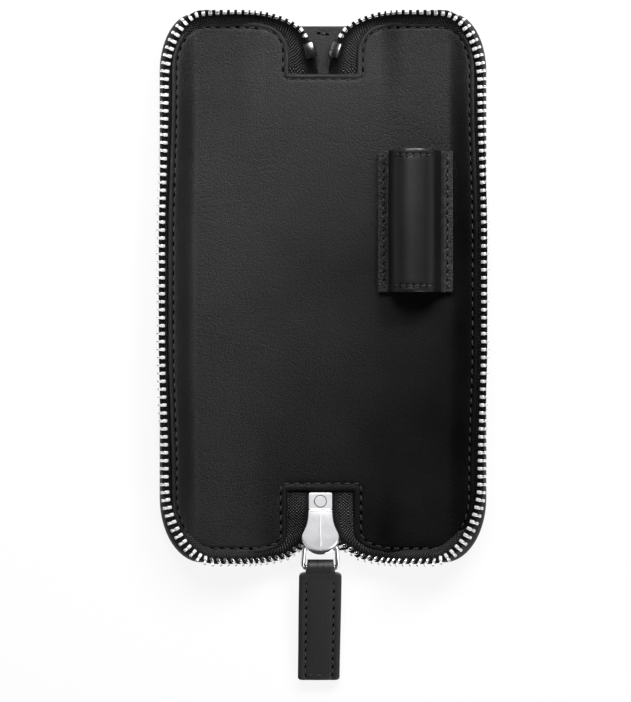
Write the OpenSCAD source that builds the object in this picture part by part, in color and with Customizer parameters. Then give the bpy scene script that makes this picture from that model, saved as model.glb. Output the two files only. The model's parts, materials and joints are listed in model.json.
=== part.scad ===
// Zip-round pen case, lying open with its inside up.
// Millimetres. X runs across the two leaves, Y along the spine, Z up from the table.
// The origin is the middle of the spine's underside.

/* [Case] */
// Width of each leaf, from its fold line to the outer edge
leaf_w = 39.9; // [39.4:0.1:60]
// Length of the case along the spine
case_len = 169.6; // [150:0.2:220]
// Radius of the leather's outer corners
corner_r = 13; // [11:0.5:16]
// Distance from the middle of the spine to each fold line
fold_x = 10.6; // [10.6:0.1:14]
// How much shorter the spine is than the leaves at each end
spine_dip = 3.6; // [3:0.1:4.2]
// Height of the leather's rim above the table
rim_h = 7.2; // [6:0.1:9]

/* [Leather and boards] */
// Thickness of the outer leather
leather_t = 1.2; // [1:0.05:1.4]
// Thickness of the stiffening board
board_t = 1.0; // [0.9:0.05:1.3]
// Thickness of the lining
lining_t = 0.8; // [0.7:0.05:1]
// Width of the sloping border of the lining
border_w = 9.6; // [9:0.1:10.2]
// Distance of the stitching from the outer edge
stitch_inset = 4.1; // [3.8:0.1:5]
// Distance from one stitch to the next
stitch_pitch = 3; // [2.4:0.1:4]
// Length of one stitch
stitch_len = 2.1; // [1.2:0.1:2.2]
// Thickness of the sewing thread
thread_d = 0.45; // [0.3:0.05:0.6]

/* [Windows in the spine lining] */
// Length of the window at the top of the spine
top_window = 14.8; // [13:0.1:18]
// Length of the window at the bottom of the spine
bottom_window = 18.4; // [18.3:0.1:24]
// Width of the leather tongue in the top window
tongue_w = 3.9; // [2:0.1:4.2]
// Width of the lining's strip beside the bottom window
side_strip = 1.2; // [0.6:0.1:1.6]

/* [Zip] */
// Distance from one tooth to the next on one tape
tooth_pitch = 2.455; // [2.3:0.005:3]
// Length of a tooth
tooth_len = 3.5; // [3:0.1:3.8]
// Width of a tooth's legs along the chain
tooth_w = 1.1; // [0.8:0.05:1.15]
// Thickness of a tooth across the tape
tooth_t = 1.6; // [1.2:0.05:1.6]
// Thickness of the zip tape
tape_t = 0.5; // [0.35:0.05:0.55]
// Height of the middle of the chain over the spine
chain_z = 5.2; // [5.1:0.1:5.4]
// Height of the middle of the chain round the leaves
chain_top_z = 10; // [9.4:0.1:10.6]
// Length of an end cap
cap_l = 4.85; // [4:0.05:5.5]
// Width of an end cap
cap_w = 3.3; // [2.6:0.05:3.4]
// Thickness of an end cap
cap_t = 2; // [1.8:0.1:2.4]

/* [Slider] */
// Sideways offset of the slider from the middle of the spine
slider_x = -0.8; // [-0.9:0.1:0.9]
// Width of the slider at its shoulders
slider_w = 11.9; // [11.4:0.1:12]
// Width of the slider at its neck
slider_neck = 7.7; // [7.4:0.1:8.4]
// Length of the slider's cap
slider_cap_l = 12.7; // [12.2:0.1:14]
// Length of the rectangular plate
plate_l = 5.2; // [4.4:0.1:5.2]
// Width of the rectangular plate
plate_w = 7.2; // [6:0.1:7.6]
// Thickness of the slider's plates
slider_t = 0.9; // [0.7:0.05:1]
// Wall of the cap
cap_wall = 0.6; // [0.5:0.05:0.7]

/* [Bail and pull] */
// Diameter of the bail's wire
wire_d = 1.2; // [1:0.05:1.3]
// Length of the bail from bar to bar
bail_l = 7.82; // [7.6:0.02:8.4]
// Distance between the bail's legs at the pull
bail_w = 10.8; // [10.4:0.1:11.4]
// Length of the pull's tab
tab_l = 32.6; // [24:0.1:40]
// Width of the pull's tab
tab_w = 13.2; // [11:0.1:14]
// Width of the pull's neck inside the bail
neck_w = 8.4; // [7:0.1:8.6]
// Thickness of each leather layer of the pull
pull_t = 1.4; // [1.1:0.05:1.6]
// Thickness of the stiff core in the pull
core_t = 0.6; // [0.4:0.05:0.8]
// Clearance of the wire in its holes
wire_clear = 0.05; // [0.03:0.01:0.1]

/* [Pen loop] */
// Length of the pen loop
loop_l = 43.6; // [20:0.1:60]
// Outer width of the loop's tube
loop_w = 16; // [13:0.1:18]
// Thickness of the loop's leather
loop_t = 1.3; // [1:0.05:1.6]
// Distance of the loop's middle from the fold line
loop_from_fold = 18; // [17.2:0.1:18.4]
// Upper end of the loop, from the middle of the case
loop_top = 42.4; // [30:0.1:55]
// Width of the flange on each side of the tube
flange_w = 3.6; // [3:0.1:3.8]

/* [Hidden] */
$fn = 48;

// Clear gap between a leaf and the spine at a fold
fold_gap = 0.3;
// Clear gap between layers that lie on each other
layer_gap = 0.02;
// Depth that thread and teeth bite into what holds them
bite = 0.15;

half_x = fold_x + leaf_w;
half_y = case_len / 2;
fold_y = half_y - spine_dip;
edge_x = fold_x + fold_gap / 2;
spine_half = fold_x - fold_gap / 2;
board_z = leather_t;
lining_z = leather_t + board_t;
floor_z = lining_z + lining_t;
ramp_a = fold_x + 6.9;
ramp_b = fold_x + 14.4;
dip_b = fold_x + 11.4;
edge_n = 8;
arc_n = 6;

// Share of a leaf's full height that its border has at x
function ramp(x) = let (t = min(1, max(0, (x - ramp_a) / (ramp_b - ramp_a)))) t * t * (3 - 2 * t);
// Share of a leaf's full length that its border has at x
function reach(x) = let (t = min(1, max(0, (dip_b - x) / (dip_b - fold_x)))) 1 - t * t;

// Points along a leaf's border, ox in from its side and oy in from its ends
function border(ox, oy) =
  let (X = half_x - ox, Y = half_y - oy, r = max(0.6, corner_r - (ox + oy) / 2))
  concat(
    [for (k = [0:edge_n]) [edge_x + k * (ramp_b - edge_x) / edge_n, -Y]],
    [for (k = [0:arc_n]) [X - r + r * sin(90 * k / arc_n), -Y + r - r * cos(90 * k / arc_n)]],
    [for (k = [0:arc_n]) [X - r + r * cos(90 * k / arc_n), Y - r + r * sin(90 * k / arc_n)]],
    [for (k = [edge_n:-1:0]) [edge_x + k * (ramp_b - edge_x) / edge_n, Y]]);

// One ring: g holds the side inset, end inset and height, then the end inset and height at the fold
function ring(g) = [for (p = border(g[0], g[1]))
  let (k = reach(p[0]), m = ramp(p[0]), s = sign(p[1]), f = fold_y - g[3])
  [p[0], s * (f + (abs(p[1]) - f) * k), g[4] + (g[2] - g[4]) * m]];

ring_n = 2 * (edge_n + arc_n + 2);

// A dished sheet whose first and last rings close flat; rings pair up from the two ends of the list
module dish(rings) {
  n = ring_n;
  m = len(rings);
  h = n / 2;
  last = (m - 1) * n;
  pts = [for (g = rings) each ring(g)];
  walls = [for (j = [0:m - 2], i = [0:n - 2]) each
    [[j * n + i, (j + 1) * n + i, (j + 1) * n + i + 1], [j * n + i, (j + 1) * n + i + 1, j * n + i + 1]]];
  caps = [for (i = [0:h - 2]) each [[i, i + 1, n - 2 - i], [i, n - 2 - i, n - 1 - i],
    [last + i, last + n - 2 - i, last + i + 1], [last + i, last + n - 1 - i, last + n - 2 - i]]];
  sides = [for (j = [0:m / 2 - 2])
    let (a = j * n, b = (j + 1) * n, c = (m - 2 - j) * n, d = (m - 1 - j) * n, e = n - 1) each
    [[a, c, b], [a, d, c], [a + e, b + e, c + e], [a + e, c + e, d + e]]];
  slab = [[0, n - 1, last + n - 1], [0, last + n - 1, last]];
  polyhedron(pts, concat(walls, caps, sides, slab));
}

// A closed band swept along the border
module band(rings) {
  n = ring_n;
  m = len(rings);
  pts = [for (g = rings) each ring(g)];
  walls = [for (j = [0:m - 1], i = [0:n - 2]) let (k = (j + 1) % m) each
    [[j * n + i, k * n + i, k * n + i + 1], [j * n + i, k * n + i + 1, j * n + i + 1]]];
  head = [for (j = [m - 1:-1:0]) j * n];
  tail = [for (j = [0:m - 1]) j * n + n - 1];
  polyhedron(pts, concat(walls, [head, tail]));
}

// Height of the lining's slope, drop in from the outer edge
rim_z = rim_h + 1.3;
slope_z = rim_z - 1.6;

module cover() {
  t = leather_t;
  dish([
    [6.5, 6.5, 0, 2.2, 0], [3.0, 3.0, 0.5, 1.2, 0], [0.9, 0.9, 2.2, 0.4, 0.05], [0, 0, 4.4, 0, 0.4],
    [0.25, 0.25, rim_h - 1.2, 0, 0.8], [1.0, 1.0, rim_h, 0.3, t - 0.05],
    [1.9, 1.9, rim_h - 0.6, 0.8, t], [1.35, 1.35, rim_h - 1.6, 1.3, t], [1.15, 1.15, 4.6, 1.7, t],
    [1.9, 1.9, 2.9, 2.1, t], [3.4, 3.4, t + 0.45, 2.5, t], [6.7, 6.7, t, 3.0, t]]);
}

module lining() {
  w = border_w;
  dish([
    [w - 0.1, w - 0.1, lining_z, 5.1, lining_z], [w - 1.3, w - 1.3, lining_z + 0.75, 3.6, lining_z],
    [6.5, 6.5, slope_z - 1.9, 2.2, lining_z], [5.0, 5.0, slope_z - 0.65, 1.3, lining_z],
    [2.7, 2.7, rim_z - 0.9, 0.6, lining_z], [2.1, 2.1, rim_z - 0.6, 0.4, lining_z + 0.3],
    [2.5, 2.5, rim_z, 0.4, floor_z], [3.1, 3.1, rim_z - 0.2, 0.8, floor_z],
    [5.5, 5.5, slope_z, 1.4, floor_z], [7.0, 7.0, slope_z - 1.35, 2.2, floor_z],
    [w - 1.3, w - 1.3, floor_z + 0.9, 3.7, floor_z], [w, w, floor_z, 5.2, floor_z]]);
}

// Outer edge of the tape, where the teeth sit
tape_z = chain_top_z - 0.55;

module tape() {
  t = tape_t;
  z = lining_z - 0.15;
  band([
    [4.6, 4.6, slope_z - 1.4, 2.7, z - t + 0.05], [1.4, 1.4, rim_h + 0.05, -0.3, z - t],
    [0.25, -0.35, tape_z - 0.15, -1.5, chain_z + 0.05], [0.7, 0.1, tape_z + 0.1, -1.0, chain_z + 0.35],
    [1.95, 1.95, rim_h + 0.55, 0.15, z + 0.05], [4.9, 4.9, slope_z - 0.85, 2.7, z]]);
}

module board() {
  x = half_x - 9;
  y = half_y - 9;
  r = corner_r - 9;
  translate([0, 0, board_z]) linear_extrude(board_t) polygon(concat(
    [[edge_x, -y]],
    [for (a = [0:15:90]) [x - r + r * sin(a), -y + r - r * cos(a)]],
    [for (a = [0:15:90]) [x - r + r * cos(a), y - r + r * sin(a)]],
    [[edge_x, y]]));
}

// The chain's middle line round a leaf, by length from its lower fold end
chain_hx = half_x - 0.3;
chain_hy = half_y + 0.4;
chain_r = corner_r - 0.3;
chain_x0 = edge_x + tooth_w / 2 + 0.3;
chain_l1 = chain_hx - chain_r - chain_x0;
chain_l2 = 90 * chain_r * PI / 180;
chain_l3 = 2 * (chain_hy - chain_r);
chain_len = 2 * (chain_l1 + chain_l2) + chain_l3;
chain_fold_y = fold_y + 1.3;

function flat_at(s) =
  s < chain_l1 ? [chain_x0 + s, -chain_hy]
  : s < chain_l1 + chain_l2 ? let (a = (s - chain_l1) / chain_r * 180 / PI)
    [chain_hx - chain_r + chain_r * sin(a), -chain_hy + chain_r - chain_r * cos(a)]
  : s < chain_l1 + chain_l2 + chain_l3 ? [chain_hx, -chain_hy + chain_r + s - chain_l1 - chain_l2]
  : s < chain_len - chain_l1 ? let (a = (s - chain_l1 - chain_l2 - chain_l3) / chain_r * 180 / PI)
    [chain_hx - chain_r + chain_r * cos(a), chain_hy - chain_r + chain_r * sin(a)]
  : [chain_x0 + chain_len - s, chain_hy];

function chain_at(s) = let (p = flat_at(s), k = reach(p[0]))
  [p[0], sign(p[1]) * (chain_fold_y + (abs(p[1]) - chain_fold_y) * k)];
function chain_turn(s) = let (d = chain_at(s + 0.2) - chain_at(s - 0.2)) atan2(-d[0], d[1]);
// Lean of a tooth above the table: flat at a fold, steep on the sides, upright at the ends
function lean(p) = let (m = ramp(p[0]), e = min(1, max(0, (abs(p[1]) - half_y + 25) / 13)))
  15 + m * (50 + 17 * e);

tooth_steps = floor(chain_len / tooth_pitch);

// One tooth along +X about its own middle: legs on the tape, then a narrower head
module tooth() {
  l = tooth_len / 2;
  w = tooth_w / 2;
  h = w - 0.15;
  translate([0, 0, -tooth_t / 2]) linear_extrude(tooth_t) polygon([[-l, -w], [0.1, -w], [0.4, -h],
    [l - 0.2, -h], [l, -h + 0.2], [l, h - 0.2], [l - 0.2, h], [0.4, h], [0.1, w], [-l, w]]);
}

module leaf_teeth() {
  for (i = [0:tooth_steps]) {
    s = (chain_len - tooth_steps * tooth_pitch) / 2 + i * tooth_pitch;
    p = chain_at(s);
    translate([p[0], p[1], chain_z + (chain_top_z - chain_z) * ramp(p[0])])
      rotate([0, 0, chain_turn(s) - 180]) rotate([0, -lean(p), 0]) tooth();
  }
}

// The stitch line round a leaf: down the top window, round the border, up the bottom window
row_x0 = fold_x + 2;
row_x1 = half_x - stitch_inset;
row_y = half_y - stitch_inset;
row_r1 = corner_r - stitch_inset;
row_r0 = 5;
row_top = fold_y - top_window - 1.9;
row_bot = fold_y - bottom_window - 2.2;
row_a = row_y - row_r0 - row_bot;
row_b = 90 * row_r0 * PI / 180;
row_c = row_x1 - row_x0 - row_r0 - row_r1;
row_d = 90 * row_r1 * PI / 180;
row_e = 2 * (row_y - row_r1);
row_f = row_y - row_r0 - row_top;
row_len = row_a + 2 * (row_b + row_c + row_d) + row_e + row_f;

// Place and heading of the stitch line, by length from the bottom window
function row_at(s) =
  let (s1 = row_a, s2 = s1 + row_b, s3 = s2 + row_c, s4 = s3 + row_d, s5 = s4 + row_e,
    s6 = s5 + row_d, s7 = s6 + row_c, s8 = s7 + row_b, q = 180 / PI)
  s < s1 ? [row_x0, -row_bot - s, -90]
  : s < s2 ? let (a = (s - s1) / row_r0 * q)
    [row_x0 + row_r0 - row_r0 * cos(a), -row_y + row_r0 - row_r0 * sin(a), a - 90]
  : s < s3 ? [row_x0 + row_r0 + s - s2, -row_y, 0]
  : s < s4 ? let (a = (s - s3) / row_r1 * q)
    [row_x1 - row_r1 + row_r1 * sin(a), -row_y + row_r1 - row_r1 * cos(a), a]
  : s < s5 ? [row_x1, -row_y + row_r1 + s - s4, 90]
  : s < s6 ? let (a = (s - s5) / row_r1 * q)
    [row_x1 - row_r1 + row_r1 * cos(a), row_y - row_r1 + row_r1 * sin(a), 90 + a]
  : s < s7 ? [row_x1 - row_r1 - s + s6, row_y, 180]
  : s < s8 ? let (a = (s - s7) / row_r0 * q)
    [row_x0 + row_r0 - row_r0 * sin(a), row_y - row_r0 + row_r0 * cos(a), 180 + a]
  : [row_x0, row_y - row_r0 - s + s8, 270];

// One stitch along +X that lies on the surface and bites into it
module stitch() {
  translate([-stitch_len / 2, -thread_d / 2, -bite]) cube([stitch_len, thread_d, thread_d]);
}

// Height of the lining under the stitch line, and its slope there
row_z = slope_z + (rim_z - 0.2 - slope_z) * (5.5 - stitch_inset) / 2.4;
row_slope = atan((rim_z - 0.2 - slope_z) / 2.4);

module leaf_stitches() {
  n = floor((row_len - stitch_len) / stitch_pitch);
  for (i = [0:n]) {
    p = row_at(stitch_len / 2 + i * (row_len - stitch_len) / n);
    m = ramp(p[0]);
    translate([p[0], p[1], floor_z + (row_z - floor_z) * m])
      rotate([0, 0, p[2]]) rotate([-row_slope * m, 0, 0]) stitch();
  }
}

// Spine
recess_z = board_z + 0.35;
tail_z = recess_z + 0.05;
win_t = fold_y - top_window;
win_b = fold_y - bottom_window;
tuck = 3.5;

module spine_cover() color("#2c2c2e")
  translate([-spine_half, -fold_y, 0]) cube([2 * spine_half, 2 * fold_y, leather_t]);

module spine_board() color("#6b5a48") difference() {
  translate([-spine_half, -fold_y + 2, board_z]) cube([2 * spine_half, 2 * fold_y - 4, board_t]);
  translate([-spine_half - 1, win_t - tuck - 0.3, recess_z]) cube([2 * spine_half + 2, top_window + 9, 9]);
  translate([-spine_half - 1, -fold_y - 4, recess_z]) cube([2 * spine_half + 2, bottom_window + 4.5, 9]);
}

module spine_lining() color("#3a3a3c") {
  translate([-spine_half, -win_b, lining_z]) cube([2 * spine_half, win_b + win_t, lining_t]);
  translate([spine_half - side_strip, -fold_y + 1, lining_z])
    cube([side_strip, bottom_window - 1, lining_t]);
}

module spine_tongue() color("#343436")
  translate([-tongue_w / 2, win_t + layer_gap, recess_z])
    cube([tongue_w, top_window - 0.4, floor_z - recess_z - 0.1]);

// A cross row of stitches along X at y
module cross_row(y, x0, x1, z) {
  n = max(1, round((x1 - x0) / stitch_pitch));
  for (i = [0:n - 1])
    translate([x0 + (i + 0.5) * (x1 - x0) / n, y, z]) stitch();
}

module spine_stitches() color("#1a1a1a") {
  cross_row(win_t - 1.9, -spine_half + 0.4, spine_half - 0.4, floor_z);
  cross_row(-win_b + 2.2, -spine_half + 0.4, spine_half - 0.4, floor_z);
  translate([0, fold_y - 2.4, floor_z - 0.1]) stitch();
}

// A tape tail: tucked under the lining, up out of the window to the end cap
module tape_tail() {
  t = tape_t;
  y0 = win_t - tuck;
  x0 = tongue_w / 2 + 0.2;
  translate([x0, 0, 0]) rotate([90, 0, 90]) linear_extrude(spine_half - x0 - 0.4)
    polygon([[y0, tail_z], [win_t, tail_z], [win_t + 2.4, tail_z + 1], [win_t + 7.6, chain_z - t / 2 - 0.1],
      [fold_y - 3.6, chain_z - t / 2], [fold_y - 3.6, chain_z + t / 2],
      [win_t + 7.4, chain_z + t / 2 - 0.1], [win_t + 2.2, tail_z + 1 + t], [win_t - 0.2, tail_z + t],
      [y0, tail_z + t]]);
}

module left_tape_tail() color("#101012") mirror([1, 0, 0]) tape_tail();
module right_tape_tail() color("#101012") tape_tail();

// The slider's nose lies at the spine's lower end
nose_y = -fold_y + 0.1;
nose_h = 4.3;
cap_y = nose_y + slider_cap_l;
plate_top = cap_y + plate_l + 0.1;
low_z = chain_z - 1.1 - slider_t;
up_z = chain_z + 1.1;
crown_z = up_z + slider_t;

// One wing of the closed tape: from the chain out and down to the spine's edge
module tape_wing(s) {
  t = tape_t;
  x0 = 2.3;
  x1 = spine_half - 0.15 - s * slider_x - (s > 0 ? side_strip : 0);
  translate([slider_x, -win_b - 0.3, 0]) rotate([90, 0, 0])
    linear_extrude(bottom_window - 2.7) polygon([for (p = [[x0, chain_z - t / 2], [5.4, chain_z - t / 2],
      [x1 - 1, tail_z + 0.9], [x1, tail_z + 0.7], [x1, tail_z + 0.7 + t], [x1 - 0.9, tail_z + 0.95 + t],
      [5.5, chain_z + t / 2], [x0, chain_z + t / 2]]) [s * p[0], p[1]]]);
}

module bottom_tape() color("#101012") {
  tape_wing(1);
  tape_wing(-1);
}

// Chain inside the slider, on the +X side: middle points and headings from the plate to the mouth
function split_at(k) = k < 3 ? [1.2, plate_top - 2 - (k + 0.25) * tooth_pitch, 180]
  : k == 3 ? [1.75, nose_y + 8.6, 188]
  : k == 4 ? [2.75, nose_y + 6.2, 201]
  : k == 5 ? [4.1, nose_y + 3.9, 215]
  : [5.5, nose_y + 1.6, 228];

module split_teeth(s) {
  for (k = [0:6]) {
    p = split_at(k);
    y = k < 3 && s < 0 ? p[1] - tooth_pitch / 2 : p[1] - (s < 0 ? 0.4 : 0);
    translate([slider_x + s * p[0], y, chain_z]) mirror([s < 0 ? 1 : 0, 0, 0]) rotate([0, 0, p[2]]) tooth();
  }
}

// Chain between a fold and its end cap, on the +X side
module cap_teeth() {
  for (p = [[4.95, fold_y - 4.2, 158], [6.0, fold_y - 2.1, 143]])
    translate([p[0], p[1], chain_z]) rotate([0, 0, p[2]]) tooth();
}

module spine_teeth() color("#c9cbd0") {
  split_teeth(1);
  split_teeth(-1);
  cap_teeth();
  mirror([1, 0, 0]) cap_teeth();
}

module end_cap(turn) {
  w = cap_w / 2;
  l = cap_l / 2;
  c = 0.5;
  translate([4, fold_y - 7.7, chain_z - cap_t / 2]) rotate([0, 0, -turn]) linear_extrude(cap_t)
    polygon([[-w + c, -l], [w - c, -l], [w, -l + c], [w, l - c], [w - c, l], [-w + c, l], [-w, l - c],
      [-w, -l + c]]);
}

module left_end_cap() color("#6a6c72") mirror([1, 0, 0]) end_cap(-16);
module right_end_cap() color("#6a6c72") end_cap(-20);

module bottom_stop() color("#9a9ca2")
  translate([slider_x - 2.2, plate_top - 1.6, chain_z - 0.8]) cube([4.4, 1.2, 1.6]);

// Half outline of the slider, d in from its edge
function bell(d) = concat(
  [[slider_neck / 2 - d, slider_cap_l - d], [slider_neck / 2 + 0.3 - d, nose_h + 5],
    [slider_neck / 2 + 1.05 - d, nose_h + 2.6], [slider_w / 2 - 0.1 - d, nose_h + 0.8]],
  [for (a = [0:10:90]) [(slider_w / 2 - d) * cos(a), nose_h - (nose_h - d) * sin(a)]]);
function whole(h) = concat(h, [for (i = [len(h) - 2:-1:0]) [-h[i][0], h[i][1]]]);

// Outline of a slider plate: the bell, cut off where the bail's legs pass
function plate_half() = concat(
  [[plate_w / 2 - 0.2, plate_top - nose_y - 0.5]],
  [for (p = bell(0.35)) if (p[1] > nose_h - 1.2) p],
  [[slider_w / 2 - 1.6, nose_h - 1.7], [bail_top / 2 - wire_d / 2 - 0.6, nose_h - 2.2],
    [2.4, 0.9], [0, 0.4]]);

bail_top = 9;
bar_y = 1.9;
bar_z = crown_z + wire_d / 2 + 0.15;
lug_w = 3.6;
hole_r = wire_d / 2 + wire_clear;

module slider_body() color("#c4c6ca") translate([slider_x, nose_y, 0]) {
  translate([0, 0, low_z]) linear_extrude(slider_t) polygon(whole(plate_half()));
  translate([0, 0, up_z]) linear_extrude(slider_t) polygon(whole(plate_half()));
  translate([0, 0, low_z + slider_t / 2]) linear_extrude(up_z - low_z)
    polygon([[0, 5.6], [0.8, 3.2], [1.9, 1.3], [0, 0.7], [-1.9, 1.3], [-0.8, 3.2]]);
  for (s = [-1, 1], z = [low_z + slider_t - 0.1, up_z - 0.4])
    translate([s * (slider_neck / 2 - 0.55) - 0.25, nose_h + 5.2, z])
      cube([0.5, plate_top - nose_y - nose_h - 6, 0.5]);
  difference() {
    translate([-lug_w / 2, bar_y - 0.9, crown_z - 0.2]) cube([lug_w, 2, bar_z - crown_z + 1.1]);
    translate([-lug_w, bar_y, bar_z]) rotate([0, 90, 0]) cylinder(r = hole_r, h = 2 * lug_w);
  }
}

dome_r = 8;
dome_z = crown_z + 4;

module dome(d) intersection() {
  translate([0, 0, crown_z + layer_gap - (d > 0 ? 1 : 0)]) linear_extrude(9) polygon(whole(bell(d)));
  translate([0, -1, dome_z - dome_r]) rotate([-90, 0, 0]) cylinder(r = dome_r - d, h = slider_cap_l + 4);
}

module slider_cap() color("#d6d8dc") translate([slider_x, nose_y, 0]) difference() {
  dome(0);
  dome(cap_wall);
  for (s = [-1, 1]) translate([s * 4.9 - 2.3, -1, crown_z - 1]) cube([4.6, nose_h - 0.55, 2.65]);
}

module slider_plate() color("#d6d8dc") translate([slider_x, cap_y + 0.05, crown_z + layer_gap])
  difference() {
    translate([-plate_w / 2, 0, 0]) cube([plate_w, plate_l, 1.2]);
    translate([0, plate_l / 2, 1]) difference() {
      cylinder(d = plate_l - 1.4, h = 1);
      cylinder(d = plate_l - 2.2, h = 1);
    }
  }

// Bail: two bars joined by two legs; it leans down to the pull
bail_drop = 3.1;
bail_reach = sqrt(bail_l * bail_l - bail_drop * bail_drop);
pull_y = nose_y + bar_y - bail_reach;
pull_z = bar_z - bail_drop;

module rod(a, b, r) {
  v = b - a;
  l = norm(v);
  translate(a) rotate([0, acos(v[2] / l), atan2(v[1], v[0])]) cylinder(r = r, h = l);
}

module bail() color("#b9bbc0") {
  r = wire_d / 2;
  y = nose_y + bar_y;
  a = [slider_x - bail_top / 2, y, bar_z];
  b = [slider_x + bail_top / 2, y, bar_z];
  c = [slider_x - bail_w / 2, pull_y, pull_z];
  d = [slider_x + bail_w / 2, pull_y, pull_z];
  e = [r, 0, 0];
  rod(a - e, b + e, r);
  rod(c - e, d + e, r);
  rod(a, c, r - 0.07);
  rod(b, d, r - 0.07);
}

// Pull, drawn from the bail's lower bar along -Y, then tipped so that its end rests on the table
pull_half = pull_t + core_t / 2;
pull_reach = tab_l + 2.1;
pull_tip = asin((pull_z - pull_half - 0.05) / pull_reach);
loop_r = 2.5;

module at_pull() translate([slider_x, pull_y, pull_z]) rotate([pull_tip, 0, 0]) children();

function tab(d) = let (w = tab_w / 2 - d, a = -2.1 - d, b = -pull_reach + d, r = 1.2)
  [[-w + r, a], [w - r, a], [w - r * 0.3, a - r * 0.3], [w, a - r], [w - 0.1, b + 1], [w - 0.4, b + 0.3],
    [w - 1.1, b], [-w + 1.1, b], [-w + 0.4, b + 0.3], [-w + 0.1, b + 1], [-w, a - r], [-w + r * 0.3, a - r * 0.3]];

module pull_strap() color("#39393c") at_pull() {
  difference() {
    union() {
      translate([0, 0, core_t / 2]) linear_extrude(pull_t) polygon(tab(0));
      translate([0, 0, -pull_half]) linear_extrude(pull_t) polygon(tab(0));
      translate([-neck_w / 2, 0, 0]) rotate([0, 90, 0]) cylinder(r = loop_r, h = neck_w);
      translate([-neck_w / 2, -2.6, -pull_half]) cube([neck_w, 2.6, 2 * pull_half]);
    }
    translate([-tab_w, 0, 0]) rotate([0, 90, 0]) cylinder(r = hole_r + 0.1, h = 2 * tab_w);
  }
}

module pull_core() color("#6b5a48") at_pull()
  translate([0, 0, -core_t / 2 + layer_gap]) linear_extrude(core_t - 2 * layer_gap)
    polygon([for (p = tab(0.5)) [p[0], min(p[1], -2.65)]]);

module pull_stitches() color("#1a1a1a") at_pull() {
  x = tab_w / 2 - 2.3;
  y1 = -pull_reach + 1.5;
  n = round((tab_l - 3) / stitch_pitch);
  for (s = [-1, 1], i = [0:n - 1])
    translate([s * x, y1 + (i + 0.5) * (tab_l - 3) / n, pull_half]) rotate([0, 0, 90]) stitch();
  for (i = [-1:1]) translate([i * stitch_pitch * 0.95, y1, pull_half]) stitch();
}

// Pen loop on the right leaf
loop_x = fold_x + loop_from_fold;
loop_r_out = loop_w / 2;
base_z = floor_z + layer_gap;
flange_z = base_z + lining_t;
loop_c = flange_z + 2.6;

module loop_base() color("#323234")
  translate([loop_x - loop_r_out - flange_w, loop_top - loop_l, base_z])
    cube([loop_w + 2 * flange_w, loop_l, lining_t]);

module pen_loop() color("#3f3f42") translate([loop_x, loop_top, 0]) rotate([90, 0, 0]) {
  z = flange_z + layer_gap;
  linear_extrude(loop_l) difference() {
    union() {
      intersection() {
        translate([0, loop_c]) circle(r = loop_r_out);
        translate([-loop_w, z]) square([2 * loop_w, 2 * loop_w]);
      }
      translate([-loop_r_out - flange_w, z]) square([loop_w + 2 * flange_w, loop_t]);
    }
    intersection() {
      translate([0, loop_c]) circle(r = loop_r_out - loop_t);
      translate([-loop_w, z - 1]) square([2 * loop_w, 2 * loop_w]);
    }
    translate([0, z]) square([2 * (loop_r_out - loop_t) - 1.6, 2 * loop_t + 0.02], center = true);
  }
}

module loop_stitches() color("#1a1a1a") {
  n = round((loop_l - 3) / stitch_pitch);
  z = flange_z + layer_gap + loop_t;
  for (s = [-1, 1], i = [0:n - 1])
    translate([loop_x + s * (loop_r_out + flange_w / 2 + 0.2), loop_top - loop_l + 1.5
      + (i + 0.5) * (loop_l - 3) / n, z]) rotate([0, 0, 90]) stitch();
}

module left_cover() color("#2c2c2e") mirror([1, 0, 0]) cover();
module left_board() color("#6b5a48") mirror([1, 0, 0]) board();
module left_lining() color("#3a3a3c") mirror([1, 0, 0]) lining();
module left_tape() color("#101012") mirror([1, 0, 0]) tape();
module left_teeth() color("#c9cbd0") mirror([1, 0, 0]) leaf_teeth();
module left_stitches() color("#1a1a1a") mirror([1, 0, 0]) leaf_stitches();
module right_cover() color("#2c2c2e") cover();
module right_board() color("#6b5a48") board();
module right_lining() color("#3a3a3c") lining();
module right_tape() color("#101012") tape();
module right_teeth() color("#c9cbd0") leaf_teeth();
module right_stitches() color("#1a1a1a") leaf_stitches();

spine_cover();
spine_board();
spine_lining();
spine_tongue();
spine_stitches();
left_tape_tail();
right_tape_tail();
bottom_tape();
spine_teeth();
left_end_cap();
right_end_cap();
bottom_stop();
slider_body();
slider_cap();
slider_plate();
bail();
pull_strap();
pull_core();
pull_stitches();
left_cover();
left_board();
left_lining();
left_tape();
left_teeth();
left_stitches();
right_cover();
right_board();
right_lining();
right_tape();
right_teeth();
right_stitches();
loop_base();
pen_loop();
loop_stitches();
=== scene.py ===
"""Looks of a zip-round pen case that lies open on its back, inside up, on a pale floor.

The shapes are worked out in millimetres, X across the leaves, Y along the spine and Z up,
and become metres where a mesh is made.
"""

import json
import math

import bmesh
import bpy
from mathutils import Matrix, Vector, noise


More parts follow.
